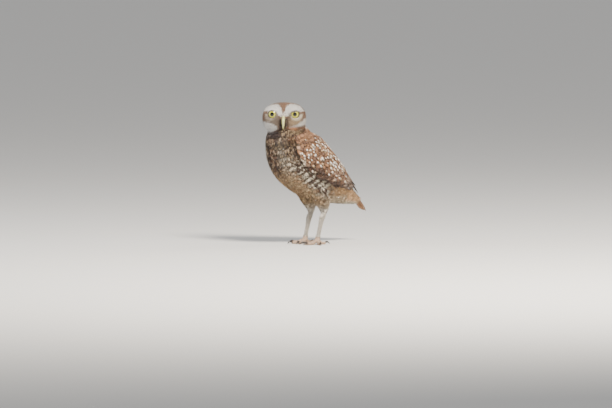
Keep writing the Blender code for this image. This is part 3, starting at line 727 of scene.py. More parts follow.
def torso_marks(s, angle, draw):
    """Ground colour, mark colour and pattern of the body feathers at stations and angles."""
    turn = np.abs((angle + 180) % 360 - 180)
    count = len(s)
    back = bump(turn, -1, 72, 16)
    breast = bump(turn, 72, 181, 16) * bump(s, -1, 3.3, 1.0)
    flank = bump(turn, 72, 146, 16) * bump(s, 2.2, 5.6, 1.0)
    belly = bump(turn, 138, 181, 16) * bump(s, 2.9, 6.6, 1.0)
    vent = bump(turn, 72, 181, 16) * bump(s, 5.6, 12, 0.8)
    shoulder = bump(turn, 70, 124, 10) * bump(s, -1, 0.8, 0.4)
    # The collar is deeper on the bird's right.
    collar = bump(turn, 95, 181, 20) * bump(s, -1, np.where(angle < 0, 0.35, 0.1), 0.4)
    # The shadowed strip beside the wing's lower edge.
    beside = bump(turn, 86, wing_edge(s)[0] + 6, 8) * bump(s, 0.6, 5.4, 0.8)
    pick = draw.uniform(0, 1, count)[:, None]
    layers = (
        (chest_colours(s, angle, turn, pick, draw), breast),
        (flank_colours(s, angle, draw), flank),
        (np.where(pick < 0.5, TAN * 1.2, BUFF * 0.95), belly),
        (blend(TAN * 2.1, CREAM * 1.15, np.clip((turn - 122) / 26, 0, 1)), vent),
        (WARM_BROWN * 0.9, shoulder),
        (DARK_BROWN, collar),
        (DARK_BROWN, beside * 0.8),
    )
    ground = painted(np.broadcast_to(WARM_BROWN, (count, 3)), layers)
    mark_layers = ((BUFF * 0.8, breast), (BROWN * 0.9, flank), (BROWN, belly), (CREAM, vent))
    marks = painted(np.broadcast_to(CREAM * 0.9, (count, 3)), mark_layers)
    keep = draw.uniform(0, 1, count)
    spots = (0.95 * back * (s > 0.8) + 0.9 * breast * (1 - collar)) * (keep < 0.45)
    bars = (0.2 * flank + 0.3 * belly * (keep < 0.4)) * draw.uniform(0.6, 1.0, count)
    fringe = 0.4 * breast * (keep > 0.5) + 0.15 * back
    number = BODY_BARS * draw.uniform(0.9, 1.1, count) / MOST_BARS
    return ground, marks, np.stack([spots, bars, fringe, number], axis=1)


def row_angles(surface, s, first, last, pitch, draw):
    """Angles of one row of feathers at station s, about pitch apart along the surface."""
    around = np.linspace(first, last, 40)
    spots = surface(np.full(len(around), s), around)
    steps = np.linalg.norm(np.diff(spots, axis=0), axis=1)
    along = np.concatenate([[0], np.cumsum(steps)])
    count = max(3, int(along[-1] / pitch))
    places = np.arange(count) + draw.uniform(0.2, 0.8) + draw.uniform(-0.25, 0.25, count)
    return np.interp(np.clip(places / count, 0, 1) * along[-1], along, around)


def feather_rows(surface, stations, edges, sizes, draw, pitch=0.6):
    """Roots, tips and widths of staggered rows of feathers, pitch of a width apart.

    edges(s) gives the angles that a row lies between, and sizes(s) its feathers' length and width and the
    share of the length that the next row leaves in view.
    """
    roots, tips, widths = [], [], []
    s = stations[0]
    while s < stations[1]:
        length, width, shown = sizes(s)
        first, last = edges(s)
        angles = row_angles(surface, s, first, last, width * pitch, draw)
        count = len(angles)
        step = shown * length / np.linalg.norm(surface(s + 0.1, 90.0) - surface(s, 90.0)) / 10
        starts = s + draw.uniform(-0.3, 0.3, count) * step
        pace = np.linalg.norm(surface(starts + 0.1, angles) - surface(starts, angles), axis=1) * 10
        reach = length * draw.uniform(0.85, 1.15, count) / np.maximum(pace, 8.0)
        roots.append(np.stack([starts, angles], axis=1))
        tips.append(np.stack([starts + reach, angles + draw.normal(0, 1.6, count)], axis=1))
        widths.append(width * draw.uniform(0.85, 1.15, count))
        s += step
    return np.concatenate(roots), np.concatenate(tips), np.concatenate(widths)


def under_wing(roots):
    """Whether the folded wing hides body feathers with these roots."""
    s, angle = roots.T
    return (np.abs(angle) < wing_edge(s)[0] - WING_LAP) & (s >= 1.4) & (s <= 5.4)


def under_coverts(roots):
    """Whether the wings' coverts hide back feathers with these roots, as they meet over its middle."""
    return (roots[:, 0] >= 1.0) & (roots[:, 0] <= 4.0)


def contour_feathers(name, angles, stations, length, width, material, seed, hidden):
    """Body feathers in staggered rows between two angles and two stations, but for the hidden ones."""
    draw = np.random.default_rng(seed)
    sizes = (length, width, 0.28)
    roots, tips, widths = feather_rows(torso_point, stations, lambda s: angles, lambda s: sizes, draw)
    shown = (off_head(torso_point(*roots.T)) > UNDER_HEAD) & ~hidden(roots)
    roots, tips, widths = roots[shown], tips[shown], widths[shown]
    lifts = (-COAT_DEPTH - 0.6, -COAT_DEPTH + 1.0, -0.7, -0.2)
    frames = frames_on(torso_point, roots, tips)
    made = fans(frames, widths, lifts, SOFT_LOCKS, 0.22, 0.5, 0.3, draw, 3)
    ground, marks, pattern = torso_marks(roots[:, 0] + 0.3, roots[:, 1], draw)
    colours = {"Markings": varied(ground, draw, 0.09), "Marks": varied(marks, draw, 0.06), "Pattern": pattern}
    return finish_piece(knit_fans(name, made, body_uv(roots), colours), material, ())


# Wing tiers: count, width and tilt of the vanes, then root and tip of the first and last one, as station and
# share of the way from the lower to the upper edge, and the heights over the shell from root to tip.
WING_TIERS = {
    "primaries": (
        (11, 10.0, 0.9),
        ((4.2, 0.03), (5.4, 0.45)),
        ((7.2, -0.16), (8.5, 0.55)),
        (-3.4, -3.0, -2.8, -4.6),
    ),
    "secondaries": (
        (12, 11.5, 1.2),
        ((3.9, 0.06), (4.8, 0.97)),
        ((6.6, -0.04), (8.0, 0.85)),
        (-3.0, -1.6, -1.3, -1.6),
    ),
    "greater": (
        (13, 10.5, 1.0),
        ((3.7, 0.02), (4.3, 1.02)),
        ((5.5, 0.02), (6.9, 0.98)),
        (-2.6, -1.4, -0.5, -0.2),
    ),
}
# Ground and mark colour of each tier, then the strengths of its spots, bars and fringe, and its bars.
WING_LOOKS = {
    "primaries": (DARK_BROWN * 1.3, DULL_BUFF, (0.0, 0.6, 0.0, 8 / MOST_BARS)),
    "secondaries": (BROWN * 0.75, DULL_BUFF, (0.0, 0.7, 0.1, 6 / MOST_BARS)),
    "greater": (BROWN * 0.9, DULL_BUFF * 1.3, (0.4, 0.4, 0.0, 4.6 / MOST_BARS)),
}


def tier_places(first, last, count, draw):
    """Station and angle of each vane of a tier at one end, evenly from the first to the last."""
    share = np.linspace(0, 1, count) ** 0.75
    s = first[0] + (last[0] - first[0]) * share + draw.uniform(-0.06, 0.06, count)
    across = first[1] + (last[1] - first[1]) * share
    low, high = wing_edge(s)
    return np.stack([s, low + (high - low) * across + draw.uniform(-0.5, 0.5, count)], axis=1)


def wing_quills(side, material):
    """The folded flight feathers and their greater coverts, tier over tier, as long vanes."""
    draw = np.random.default_rng(31 if side == "left" else 32)
    columns = 7
    grids, roots, grounds, marks, patterns = [], [], [], [], []
    for label, ((count, width, tilt), starts, ends, lifts) in WING_TIERS.items():
        root = tier_places(*starts, count, draw)
        tip = tier_places(*ends, count, draw)
        widths = width * draw.uniform(0.93, 1.07, count)
        grids.append(surface_vanes(wing_point, root, tip, widths, lifts, tilt, 0.3, 0.05, draw, columns))
        ground, mark, pattern = WING_LOOKS[label]
        roots.append(root)
        grounds.append(np.tile(ground, (count, 1)))
        marks.append(np.tile(mark, (count, 1)))
        patterns.append(np.tile(pattern, (count, 1)))
    grid, root = np.concatenate(grids), np.concatenate(roots)
    if side == "right":
        grid = mirrored(grid)
    colours = {
        "Markings": varied(np.concatenate(grounds), draw, 0.08),
        "Marks": np.concatenate(marks),
        "Pattern": np.concatenate(patterns),
    }
    lie = lie_map(len(VANE_WIDTHS), columns)
    obj = knit(f"wing_quills_{side}", grid, 0.2, lie, body_uv(root), colours)
    return finish_piece(obj, material, (f"wing_{side}",))


def covert_marks(roots, draw):
    """Warm brown coverts with pale spots, closest together over the middle of the wing."""
    s, angle = roots.T
    count = len(roots)
    pick = draw.uniform(0, 1, count)[:, None]
    ground = np.where(pick < 0.2, BROWN * 1.1, np.where(pick < 0.85, WARM_BROWN, WARM_BROWN * 1.25))
    low, _ = wing_edge(s)
    # The dark lower edge, and the pale line along the front of the wing.
    edge = np.clip((angle - low + 14) / 8, 0, 1) * np.clip((s - 2.2) / 0.8, 0, 1)
    line = np.clip((angle - low + 1.5) / 1.5, 0, 1) * bump(s, 0.9, 2.8, 0.4)
    ground = painted(ground, ((DARK_BROWN, edge * 0.9), (CREAM * 0.9, line * 0.7)))
    often = np.interp(s, (0.5, 1.2, 1.8), (0.1, 0.3, 0.6))
    often = often * (1 - 0.65 * edge) * np.interp(angle, (5, 30), (0.5, 1))
    spots = (draw.uniform(0, 1, count) < often) * draw.uniform(0.4, 1.0, count)
    marks = blend(np.tile(BUFF * 1.1, (count, 1)), WHITE, draw.uniform(-0.2, 1.3, count))
    none = np.zeros(count)
    fringe = 0.15 * draw.uniform(0, 1, count)
    return ground, marks, np.stack([spots * (1 - line), none, fringe, none], axis=1)


def wing_coverts(side, material):
    """Rows of coverts and scapulars from the neck back over the wing, each row lapping over the next."""
    draw = np.random.default_rng(35 if side == "left" else 36)

    def edges(s):
        return -6.0, wing_edge(s)[0] + 3.0

    def sizes(s):
        grown = (s - COVERTS[0]) / (COVERTS[1] - COVERTS[0])
        return 11.0 + 11.0 * grown, 7.0 + 4.5 * grown, 0.36

    roots, tips, widths = feather_rows(wing_point, COVERTS, edges, sizes, draw, 0.5)
    centre, sideways, outward = frames_on(wing_point, roots, tips)
    # The lowest ones roll in round the wing's edge.
    over = np.clip(roots[:, 1] - wing_edge(roots[:, 0])[0] + 4, 0, None)
    centre = centre - outward * (0.04 * over**2)[:, None, None]
    frames = (centre, sideways, outward)
    grid, lie, owner = fans(frames, widths, (-2.2, -0.6, 0.3, 0.6), SOFT_LOCKS, 0.08, 0.5, 0.12, draw)
    if side == "right":
        grid = mirrored(grid)
    ground, marks, pattern = covert_marks(roots, draw)
    colours = {"Markings": varied(ground, draw, 0.09), "Marks": marks, "Pattern": pattern}
    obj = knit_fans(f"wing_coverts_{side}", (grid, lie, owner), body_uv(roots), colours)
    return finish_piece(obj, material, (f"wing_{side}",))


# Tail


def tail_place(points):
    """Points beside, along and above the tail's middle line, on its bent and rolled surface."""
    bend = math.radians(TAIL_BEND) * points[..., 1] / TAIL_LENGTH
    flat = points.copy()
    flat[..., 2] -= points[..., 1] * np.sin(bend) / 2
    droop = Matrix.Rotation(-math.radians(TAIL_DROOP), 4, "X")
    roll = Matrix.Rotation(math.radians(TAIL_ROLL), 4, "Y")
    return placed(Matrix.Translation(TAIL_ROOT) @ droop @ roll, flat)


def tail_quill(place, rank, share, outline, columns, draw):
    """Grid of one quill. place runs from -1 on the right to 1 on the left; rank counts from the middle."""
    turn = math.radians(place * 4.2)
    length = TAIL_LENGTH - 4.5 * place * place
    edge = np.linspace(-1, 1, columns)[None]
    along = share[:, None] * length
    x = place * 3.4 + edge * QUILL_WIDTH / 2 * outline[:, None] + along * math.sin(turn)
    y = along * math.cos(turn) - draw.uniform(0, 1.2, (1, columns)) * share[:, None] ** 4
    z = -edge * np.sign(rank) * 0.35 - abs(rank) * QUILL_STEP + 0 * y
    return tail_place(np.stack([x, y, z], axis=-1))


def tail_feathers(material):
    """Twelve quills, the middle pair on top."""
    draw = np.random.default_rng(71)
    rows, columns, quills = 12, 7, 12
    share = np.linspace(0.05, 1, rows)
    outline = np.interp(share, (0, 0.3, 0.6, 0.85, 0.95, 1), (0.4, 0.8, 1.0, 0.98, 0.72, 0.22))
    last = (quills - 1) / 2
    ranks = np.arange(quills) - last
    grid = np.stack([tail_quill(rank / last, rank, share, outline, columns, draw) for rank in ranks])
    uv = np.stack([np.linspace(0.1, 0.9, quills), np.full(quills, 0.5)], axis=1)
    colours = {
        "Markings": varied(np.tile(blend(BROWN, RUSSET, np.array(0.35)), (quills, 1)), draw, 0.08),
        "Marks": np.tile(blend(BUFF, RUSSET, np.array(0.6)), (quills, 1)),
        "Pattern": np.tile((0.0, 0.85, 0.35, 7 / MOST_BARS), (quills, 1)),
    }
    obj = knit("tail_quills", grid, 0.25, lie_map(rows, columns), uv, colours)
    return finish_piece(obj, material, ("tail",))


# Skin

SKIN_NODES = ("torso", "neck", "head", "thigh_left", "thigh_right")


def copy_nodes(names):
    """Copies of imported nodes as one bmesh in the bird's own frame, with their loose corners merged."""
    bm = bmesh.new()
    for name in names:
        bm.from_mesh(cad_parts[name].data)
    bmesh.ops.scale(bm, vec=(1 / MM,) * 3, verts=bm.verts)
    bmesh.ops.translate(bm, vec=-Vector(SHIFT), verts=bm.verts)
    bmesh.ops.remove_doubles(bm, verts=bm.verts, dist=0.001)
    return bm


def remeshed(name, bm, voxel, passes):
    """A bmesh joined into one even skin. voxel is its mesh size."""
    obj = from_bmesh(name, bm)
    modifier = obj.modifiers.new("Remesh", "REMESH")
    modifier.mode = "VOXEL"
    modifier.voxel_size = voxel * MM
    relax = obj.modifiers.new("Smooth", "SMOOTH")
    relax.iterations = passes
    bpy.context.view_layer.update()
    evaluated = obj.evaluated_get(bpy.context.evaluated_depsgraph_get())
    mesh = bpy.data.meshes.new_from_object(evaluated)
    obj.modifiers.clear()
    obj.data = mesh
    return obj


def mesh_arrays(obj):
    """Points and their normals in the bird's own frame."""
    mesh = obj.data
    points = np.empty(len(mesh.vertices) * 3)
    mesh.vertices.foreach_get("co", points)
    normals = np.empty(len(mesh.vertices) * 3)
    mesh.vertex_normals.foreach_get("vector", normals)
    return points.reshape(-1, 3) / MM - SHIFT, normals.reshape(-1, 3)


def in_head(points):
    """Points in the head's own frame."""
    return placed(head_frame().inverted(), points)


def part_of(points):
    """How far each point belongs to the head and to the legs, from 0 to 1."""
    local = in_head(points)
    size = (np.abs(local / np.array(HEAD_HALF)) ** 2.5).sum(axis=1) ** 0.4
    head = np.clip((1.10 - size) / 0.12, 0, 1)
    leg = np.clip((78.0 - points[:, 2]) / 14.0, 0, 1) * (points[:, 1] < 30)
    return head, leg


def nearest_body(points):
    """Station and angle of the points nearest on the torso's shell."""
    stations = np.linspace(0, 8.7, 88)
    centres = smooth(BODY, stations)[:, :2]
    gaps = np.linalg.norm(points[:, None, 1:] - centres[None], axis=2)
    s = stations[gaps.argmin(axis=1)]
    centre = smooth(BODY, s)[:, :2]
    step = smooth(BODY, s + 0.05)[:, :2] - smooth(BODY, s - 0.05)[:, :2]
    tangent = step / np.linalg.norm(step, axis=1)[:, None]
    dorsal = np.stack([-tangent[:, 1], tangent[:, 0]], axis=1)
    height = ((points[:, 1:] - centre) * dorsal).sum(axis=1)
    return s, np.degrees(np.arctan2(points[:, 0], height))


def brow_shares(side, z):
    """Upper edge of the white brows, and how far points lie in them."""
    top = np.interp(side, (0, 1.9, 3.8, 8, 20, 27, 31), (4, 10.5, 16, 20.5, 20, 17, 12))
    bottom = np.interp(side, (0, 5, 9, 16, 24, 30), (3, 5, 8.5, 10.5, 11, 11))
    brow = np.clip((z - bottom) / 1.5 + 0.5, 0, 1) * np.clip((top - z) / 2 + 0.5, 0, 1)
    return top, brow * (side < 31)


def chin_shares(x, side, z):
    """Lower edge of the white chin and lower cheeks, and how far points lie in them.

    They are wider on the bird's right in this pose.
    """
    right_low = np.interp(side, (8, 14, 20, 26, 33), (-13.5, -17.5, -20.5, -20.5, -10))
    left_low = np.interp(side, (5, 18, 30), (-13.0, -10.5, -9.5))
    right_top = np.interp(side, (8, 20, 33), (-9.0, -5.0, -3.0))
    left_top = np.interp(side, (8, 18, 30), (-9.5, -7.5, 0.5))
    low = np.where(x < 0, right_low, left_low)
    top = np.where(x < 0, right_top, left_top)
    chin = np.clip((top - z) / 2.5 + 0.5, 0, 1) * np.clip((z - low) / 2.5 + 0.5, 0, 1)
    return low, chin * bump(side, 8, 40, 4)


def head_marks(local, draw):
    """Ground colour, mark colour and pattern of the head's feathers, in its own frame."""
    local = local + draw.normal(0, MARK_SCATTER, local.shape)
    x, y, z = local.T
    side = np.abs(x)
    count = len(local)
    front = np.clip((-y - 2) / 8, 0, 1)
    top, brow = brow_shares(side, z)
    chin_low, chin = chin_shares(x, side, z)
    ring = np.hypot(side - EYE_AT[0] - 1.5, z - EYE_AT[2])
    # The ring shows more on the bird's left: painted light on the side that the key lamp lights.
    ring_share_with_painted_light = np.where(x < 0, 0.35, 0.85)
    collar = np.clip((np.minimum(chin_low, -16.0) - z) / 3 + 0.5, 0, 1) * np.clip((-y + 10) / 8, 0, 1)
    lines = np.sin((z - 0.42 * x) * 2 * math.pi / THROAT_LINES)
    layers = (
        # Grey-brown cheeks under the eyes, between brown ear coverts.
        (FACE_GREY, bump(z, -9, 9, 4) * front * bump(side, 4, 27, 5)),
        # Painted light: buff over the bird's left cheek, the side that the key lamp lights.
        (BUFF * 1.05, bump(z, -8, 3, 4) * bump(x, 8, 24, 5) * front * 0.7),
        # White brows, and a white wedge down to the bill.
        (WHITE, brow * front),
        # A pale ring close under each eye, stronger on the bird's left as painted light.
        (CREAM, bump(ring, 6, 9.3, 2) * front * (z < 7) * ring_share_with_painted_light),
        # Dark bristly lores beside the bill.
        (DARK_BROWN, bump(side, 0, 5.5, 3) * bump(z, -12, 1, 4) * front * 0.8),
        (WHITE * 0.95, chin * np.clip((-y + 4) / 6, 0, 1)),
        # Buff-orange feathers under the bird's left cheek.
        (RUSSET * 1.9, bump(x, 5, 19, 5) * bump(z, -16, -10.5, 2.5) * front * 0.9),
        (WARM_BROWN, bump(x, 19, 40, 5) * bump(z, -40, -10.5, 2.5)),
        (DARK_BROWN, collar),
        (DARK_BROWN, bump(side, 0, 8, 4) * np.clip((-12 - z) / 3 + 0.5, 0, 1) * front),
        # Pale and dark lines that slant up from the throat below the warm band.
        (blend(DARK_BROWN, BUFF, lines * 1.5 + 0.4), bump(x, -4, 26, 4) * bump(z, -32, -14.5, 3) * front),
    )
    ground = painted(np.broadcast_to(WARM_BROWN * 0.95, (count, 3)), layers)
    crown = np.clip((z - top) / 2, 0, 1) * np.clip((z - 4) / 4, 0, 1)
    behind = 1 - front
    flecks = np.clip(crown + behind, 0, 1) * (draw.uniform(0, 1, count) < 0.5)
    none = np.zeros(count)
    pattern = np.stack([flecks * behind * 0.8, none, flecks * 0.8, none], axis=1)
    return ground, np.broadcast_to(CREAM, (count, 3)), pattern


def leg_marks(points, _=None):
    """Ground colour, mark colour and pattern of the leg feathers, which need no random draws."""
    count = len(points)
    cream = np.broadcast_to((CREAM + WHITE) / 2, (count, 3))
    ground = blend(cream, BUFF, np.clip((points[:, 2] - 62) / 12, 0, 1))
    pattern = np.tile((0.0, 0.25, 0.0, BODY_BARS / MOST_BARS), (count, 1))
    return ground, np.broadcast_to(TAN, (count, 3)), pattern


def all_marks(points, draw):
    """Markings of every part, from one set of rules for the skin and the coat."""
    head, leg = part_of(points)
    s, angle = nearest_body(points)
    sets = (torso_marks(s, angle, draw), head_marks(in_head(points), draw), leg_marks(points, draw))
    mixed = []
    for body, face, shank in zip(*sets):
        mixed.append(blend(blend(body, face, head), shank, leg))
    return mixed


def sink(obj, points, normals, depth):
    """Moves a skin's points in along their normals."""
    sunk = points - normals * depth
    obj.data.vertices.foreach_set("co", ((sunk + SHIFT) * MM).astype(np.float32).reshape(-1))
    obj.data.update()


def body_skin(material):
    """One skin over the body, neck, head and thighs, sunk by the depth of the coat."""
    obj = remeshed("body_skin", copy_nodes((*SKIN_NODES, "eye_left", "eye_right")), SKIN_VOXEL, 6)
    points, normals = mesh_arrays(obj)
    head, leg = part_of(points)
    depth = COAT_DEPTH + (FACE_DEPTH - COAT_DEPTH) * np.maximum(head, leg)
    sink(obj, points, normals, depth[:, None])
    ground, _, _ = all_marks(points, np.random.default_rng(1))
    paint(obj.data, "Markings", ground)
    return finish_piece(obj, material, SKIN_NODES)


def triangles_of(obj):
    obj.data.calc_loop_triangles()
    corners = np.empty(len(obj.data.loop_triangles) * 3, np.int32)
    obj.data.loop_triangles.foreach_get("vertices", corners)
    return corners.reshape(-1, 3)


class Coat:
    """The skin as a surface on which tufts are set. They are laid over it and over the others beside it."""

    def __init__(self, obj, others=()):
        self.points, self.normals = mesh_arrays(obj)
        self.faces = triangles_of(obj)
        a, b, c = (self.points[self.faces[:, k]] for k in range(3))
        self.areas = np.linalg.norm(np.cross(b - a, c - a), axis=1) / 2
        points, faces, total = [self.points], [self.faces], len(self.points)
        for other in others:
            points.append(mesh_arrays(other)[0])
            faces.append(triangles_of(other) + total)
            total += len(points[-1])
        self.tree = BVHTree.FromPolygons(np.concatenate(points).tolist(), np.concatenate(faces).tolist())

    def roots(self, spacing, wanted, draw):
        """Even random roots where wanted(points) holds, about spacing apart."""
        count = int(self.areas.sum() / spacing**2 * 3.0)
        pick = draw.choice(len(self.faces), count, p=self.areas / self.areas.sum())
        weights = draw.dirichlet((1, 1, 1), count)
        corners = self.faces[pick]
        points = (self.points[corners] * weights[..., None]).sum(axis=1)
        normals = unit((self.normals[corners] * weights[..., None]).sum(axis=1))
        keep = wanted(points)
        points, normals = points[keep], normals[keep]
        cell = np.floor(points / spacing).astype(np.int64)
        _, first = np.unique(cell, axis=0, return_index=True)
        return points[first], normals[first]

    def lay(self, points, flow, lengths):
        """Where the tips of tufts come to lie, with the skin's normal there."""
        ahead = points + flow * lengths[:, None]
        tips = np.empty_like(ahead)
        normals = np.empty_like(ahead)
        for k, spot in enumerate(ahead):
            found, normal, _, _ = self.tree.find_nearest(Vector(spot))
            tips[k] = found
            normals[k] = normal
        return tips, normals


def frames_over(coat, points, normals, flow, lengths, steps=7):
    """Centre line, sideways and outward directions of tufts that follow the skin."""
    flow = unit(flow - normals * (flow * normals).sum(axis=1, keepdims=True))
    tips, ends = coat.lay(points, flow, lengths)
    share = np.linspace(0, 1, steps)
    run = tips - points
    # They follow a round place and lie straight over a hollow one.
    turned = np.clip(((ends - normals) * run).sum(axis=1) / 8, 0, None)
    bow = 4 * turned[:, None] * share * (1 - share)
    normal = unit(normals[:, None] * (1 - share)[None, :, None] + ends[:, None] * share[None, :, None])
    centre = points[:, None] + run[:, None] * share[None, :, None] + normal * bow[..., None]
    return centre, unit(np.cross(unit(run)[:, None], normal)), normal


def head_flow(points):
    """The lie of the head's feathers: out from the bill and the eyes, and back over the crown."""
    local = in_head(points)
    main = unit(local - np.array(BILL_BASE)) + np.array((0, 0.35, 0))
    for sign in (-1, 1):
        eye = np.array((sign * (EYE_AT[0] + 1.2), EYE_AT[1] - 8.0, EYE_AT[2]))
        away = local - eye
        near = np.exp(-((np.linalg.norm(away, axis=1) / 9.0) ** 2))[:, None]
        main = main * (1 - near) + unit(away) * near
    turn = np.array(head_frame())[:3, :3]
    return main @ turn.T


def head_uv(points):
    """Place of a root on the unrolled head: longitude and latitude about its vertical axis."""
    local = unit(in_head(points))
    around = np.arctan2(local[:, 0], -local[:, 1]) / (2 * math.pi) + 0.5
    up = np.arcsin(np.clip(local[:, 2], -1, 1)) / math.pi + 0.5
    return np.stack([0.02 + 0.96 * around, 0.02 + 0.96 * up], axis=1)


def eye_distance(points):
    """Distance of points from the axis of the nearer eye, in front of it."""
    gaps = []
    for side in SIDES:
        local = placed(eye_frame(side).inverted(), points)
        top = LID_PRESS[side] + LID_SLANT[side] * np.clip(local[:, 0] / EYE_OPENING, -1, 1)
        pressed = np.where(local[:, 2] > 0, local[:, 2] / top, local[:, 2])
        gaps.append(np.where(local[:, 1] < 0, np.hypot(local[:, 0], pressed), 99.0))
    return np.minimum(*gaps)


def bill_distance(points):
    """Distance of points from the line of the bill, in the head's own frame."""
    local = in_head(points)
    out = np.hypot(local[:, 0], np.clip(np.abs(local[:, 2] + 6) - 6, 0, None))
    return np.where(local[:, 1] < -15, out, 99.0)


def at_each(rule, points):
    """A rule's values at points, where the rule is a function of them or one value for them all."""
    if callable(rule):
        return rule(points)
    return np.broadcast_to(rule, (len(points), *np.shape(rule)))


def skin_coat(coat, name, wanted, seed, spacing, length, width, locks, lifts, material, kind, looks=None):
    """Soft feathers set at random over the part of the skin where wanted(points) holds.

    kind is their lie, their place on the unrolled skin and a slot name, which is not used.
    """
    flow_of, uv_of, slot = kind
    draw = np.random.default_rng(seed)
    points, normals = coat.roots(spacing, wanted, draw)
    count = len(points)
    lengths = at_each(length, points) * draw.uniform(0.8, 1.2, count)
    widths = width * draw.uniform(0.8, 1.2, count)
    flow = at_each(flow_of, points) + draw.normal(0, 0.10, (count, 3))
    frames = frames_over(coat, points, normals, flow, lengths)
    made = fans(frames, widths, lifts, locks, 0.3, 0.15, 0.3, draw, 3)
    ground, marks, pattern = (looks or all_marks)(points, draw)
    colours = {"Markings": varied(ground, draw, 0.07), "Marks": marks, "Pattern": pattern}
    return finish_piece(knit_fans(name, made, uv_of(points), colours), material, ())


def nape_flow(points):
    """Back and down from the head, and out over the shoulders."""
    flow = np.tile((0.0, 0.8, -0.8), (len(points), 1))
    flow[:, 0] += points[:, 0] / 60
    return flow


def hip_marks(points, draw):
    """The body's markings, with a pale tuft behind the thighs."""
    ground, marks, pattern = all_marks(points, draw)
    tuft = bump(points[:, 1], 14, 60, 8) * np.clip((88 - points[:, 2]) / 8, 0, 1)
    return blend(ground, (CREAM + BUFF) * 0.6, tuft), marks, pattern * (1 - tuft)[:, None]


def body_coat_uv(points):
    """Place of a root of the skin's own tufts on the unrolled body."""
    s, angle = nearest_body(points)
    return body_uv(np.stack([s, angle], axis=1))


def leg_uv(points):
    """Place of a root on the unrolled legs, the left one beside the right one."""
    off = points[:, 0] - np.sign(points[:, 0]) * LEG_X
    around = np.arctan2(off, points[:, 1]) / (2 * math.pi) + 0.5
    across = (around + (points[:, 0] > 0)) * 0.48 + 0.01
    return np.stack([across, np.clip(points[:, 2] / 100, 0.01, 0.99)], axis=1)


def bill_bristles(coat, material):
    """Stiff hair-like feathers that leave the lores and lie forward over the sides of the bill."""
    draw = np.random.default_rng(15)

    def wanted(points):
        local = in_head(points)
        beside = (np.abs(local[:, 0]) > 1.8) & (np.abs(local[:, 0]) < 6.0)
        return beside & (local[:, 2] > -11) & (local[:, 2] < 3) & (local[:, 1] < -18)

    points, normals = coat.roots(0.8, wanted, draw)
    count = len(points)
    local = in_head(points)
    ahead = np.tile((0.0, -0.75, -0.75), (count, 1))
    ahead[:, 0] = -np.sign(local[:, 0]) * 0.25
    ahead = ahead + draw.normal(0, 0.18, (count, 3))
    run = unit(ahead @ np.array(head_frame())[:3, :3].T) * draw.uniform(4.0, 7.0, (count, 1))
    share = np.linspace(0, 1, 7)[None, :, None]
    outward = unit(normals)[:, None]
    centre = points[:, None] + run[:, None] * share - outward * share**2 * 0.8
    sideways = unit(np.cross(run, normals))[:, None] * np.ones((1, 7, 1))
    frames = (centre, sideways, outward * np.ones((1, 7, 1)))
    widths = draw.uniform(0.22, 0.38, count)
    made = fans(frames, widths, (0.0, 0.4, 0.8, 0.9), 1, 0.1, 0.0, 0.2, draw)
    pick = draw.uniform(0, 1, count)[:, None]
    ground = np.where(pick < 0.4, UMBER, np.where(pick < 0.75, DARK_BROWN, FACE_GREY * 1.2))
    colours = {"Markings": ground, "Marks": ground, "Pattern": np.zeros((count, 4))}
    obj = knit_fans("bill_bristles", made, head_uv(points), colours)
    return finish_piece(obj, material, ())


# Eyes, lids and bill


def globe(side, material):
    """A smooth globe with its iris mapped straight on from the front."""
    bm = bmesh.new()
    bmesh.ops.create_uvsphere(bm, u_segments=48, v_segments=32, radius=EYE_RADIUS)
    quarter = Matrix.Rotation(math.radians(90), 3, "X")
    bmesh.ops.rotate(bm, cent=(0, 0, 0), matrix=quarter, verts=bm.verts)
    layer = bm.loops.layers.uv.new("Iris")
    for face in bm.faces:
        for loop in face.loops:
            at = loop.vert.co / (2 * EYE_RADIUS)
            loop[layer].uv = (0.5 + at.x, 0.5 + at.z) if at.y < 0 else (0.0, 0.0)
    bmesh.ops.transform(bm, matrix=eye_frame(side), verts=bm.verts)
    obj = from_bmesh(f"eyeball_{side}", bm)
    return finish_piece(obj, material, (f"eye_{side}",))


# Rings of a lid's rim: how far out from the opening and from the globe, and how far the brow presses them.
LID_RINGS = (
    (-0.1, -0.25, 1.0),
    (0.05, 0.25, 1.0),
    (0.35, 0.35, 0.9),
    (0.8, 0.35, 0.3),
    (1.2, 0.1, 0.0),
    (1.8, -1.0, 0.0),
)


def lid_ring(side, material):
    """The bare rims of the lids: round below, and pressed flatter above by the brow."""
    bm = bmesh.new()
    edge = bmesh.ops.create_circle(bm, cap_ends=False, segments=40, radius=1.0)["verts"]
    shape = [v.co.copy() for v in edge]
    for k, (out, off, press) in enumerate(LID_RINGS):
        wide, far = EYE_OPENING + out, EYE_RADIUS + off
        if k:
            edge = grow_ring(bm, edge)
        for vertex, spot in zip(edge, shape):
            x, z = wide * spot.x, wide * spot.y
            top = LID_PRESS[side] * EYE_OPENING + LID_SLANT[side] * x
            z += (min(z, top) - z) * press
            vertex.co = Vector((x, -math.sqrt(max(far * far - x * x - z * z, 1.0)), z))
    bmesh.ops.transform(bm, matrix=eye_frame(side), verts=bm.verts)
    obj = from_bmesh(f"eyelid_{side}", bm)
    return finish_piece(obj, material, ())


def press_nostrils(obj):
    """Presses a round pit into either side of the bill's base."""
    for vertex in obj.data.vertices:
        at = vertex.co / MM - Vector(SHIFT)
        gap = math.hypot(at.y - NOSTRIL_AT[0], at.z - NOSTRIL_AT[1])
        if gap < NOSTRIL_RADIUS:
            vertex.co.x *= NOSTRIL_PRESS


def bill_part(name, rows, material, node):
    """Upper or lower half of the bill, drawn along its curve."""
    obj = tube(name, rows, (1, 0, 0), 32, 36)
    if node == "bill_upper":
        press_nostrils(obj)
    to_own = Matrix.Translation(-Vector(SHIFT)) @ Matrix.Scale(1 / MM, 4)
    back = Matrix.Scale(MM, 4) @ Matrix.Translation(SHIFT)
    obj.data.transform(back @ head_frame() @ to_own)
    return finish_piece(obj, material, (node,))


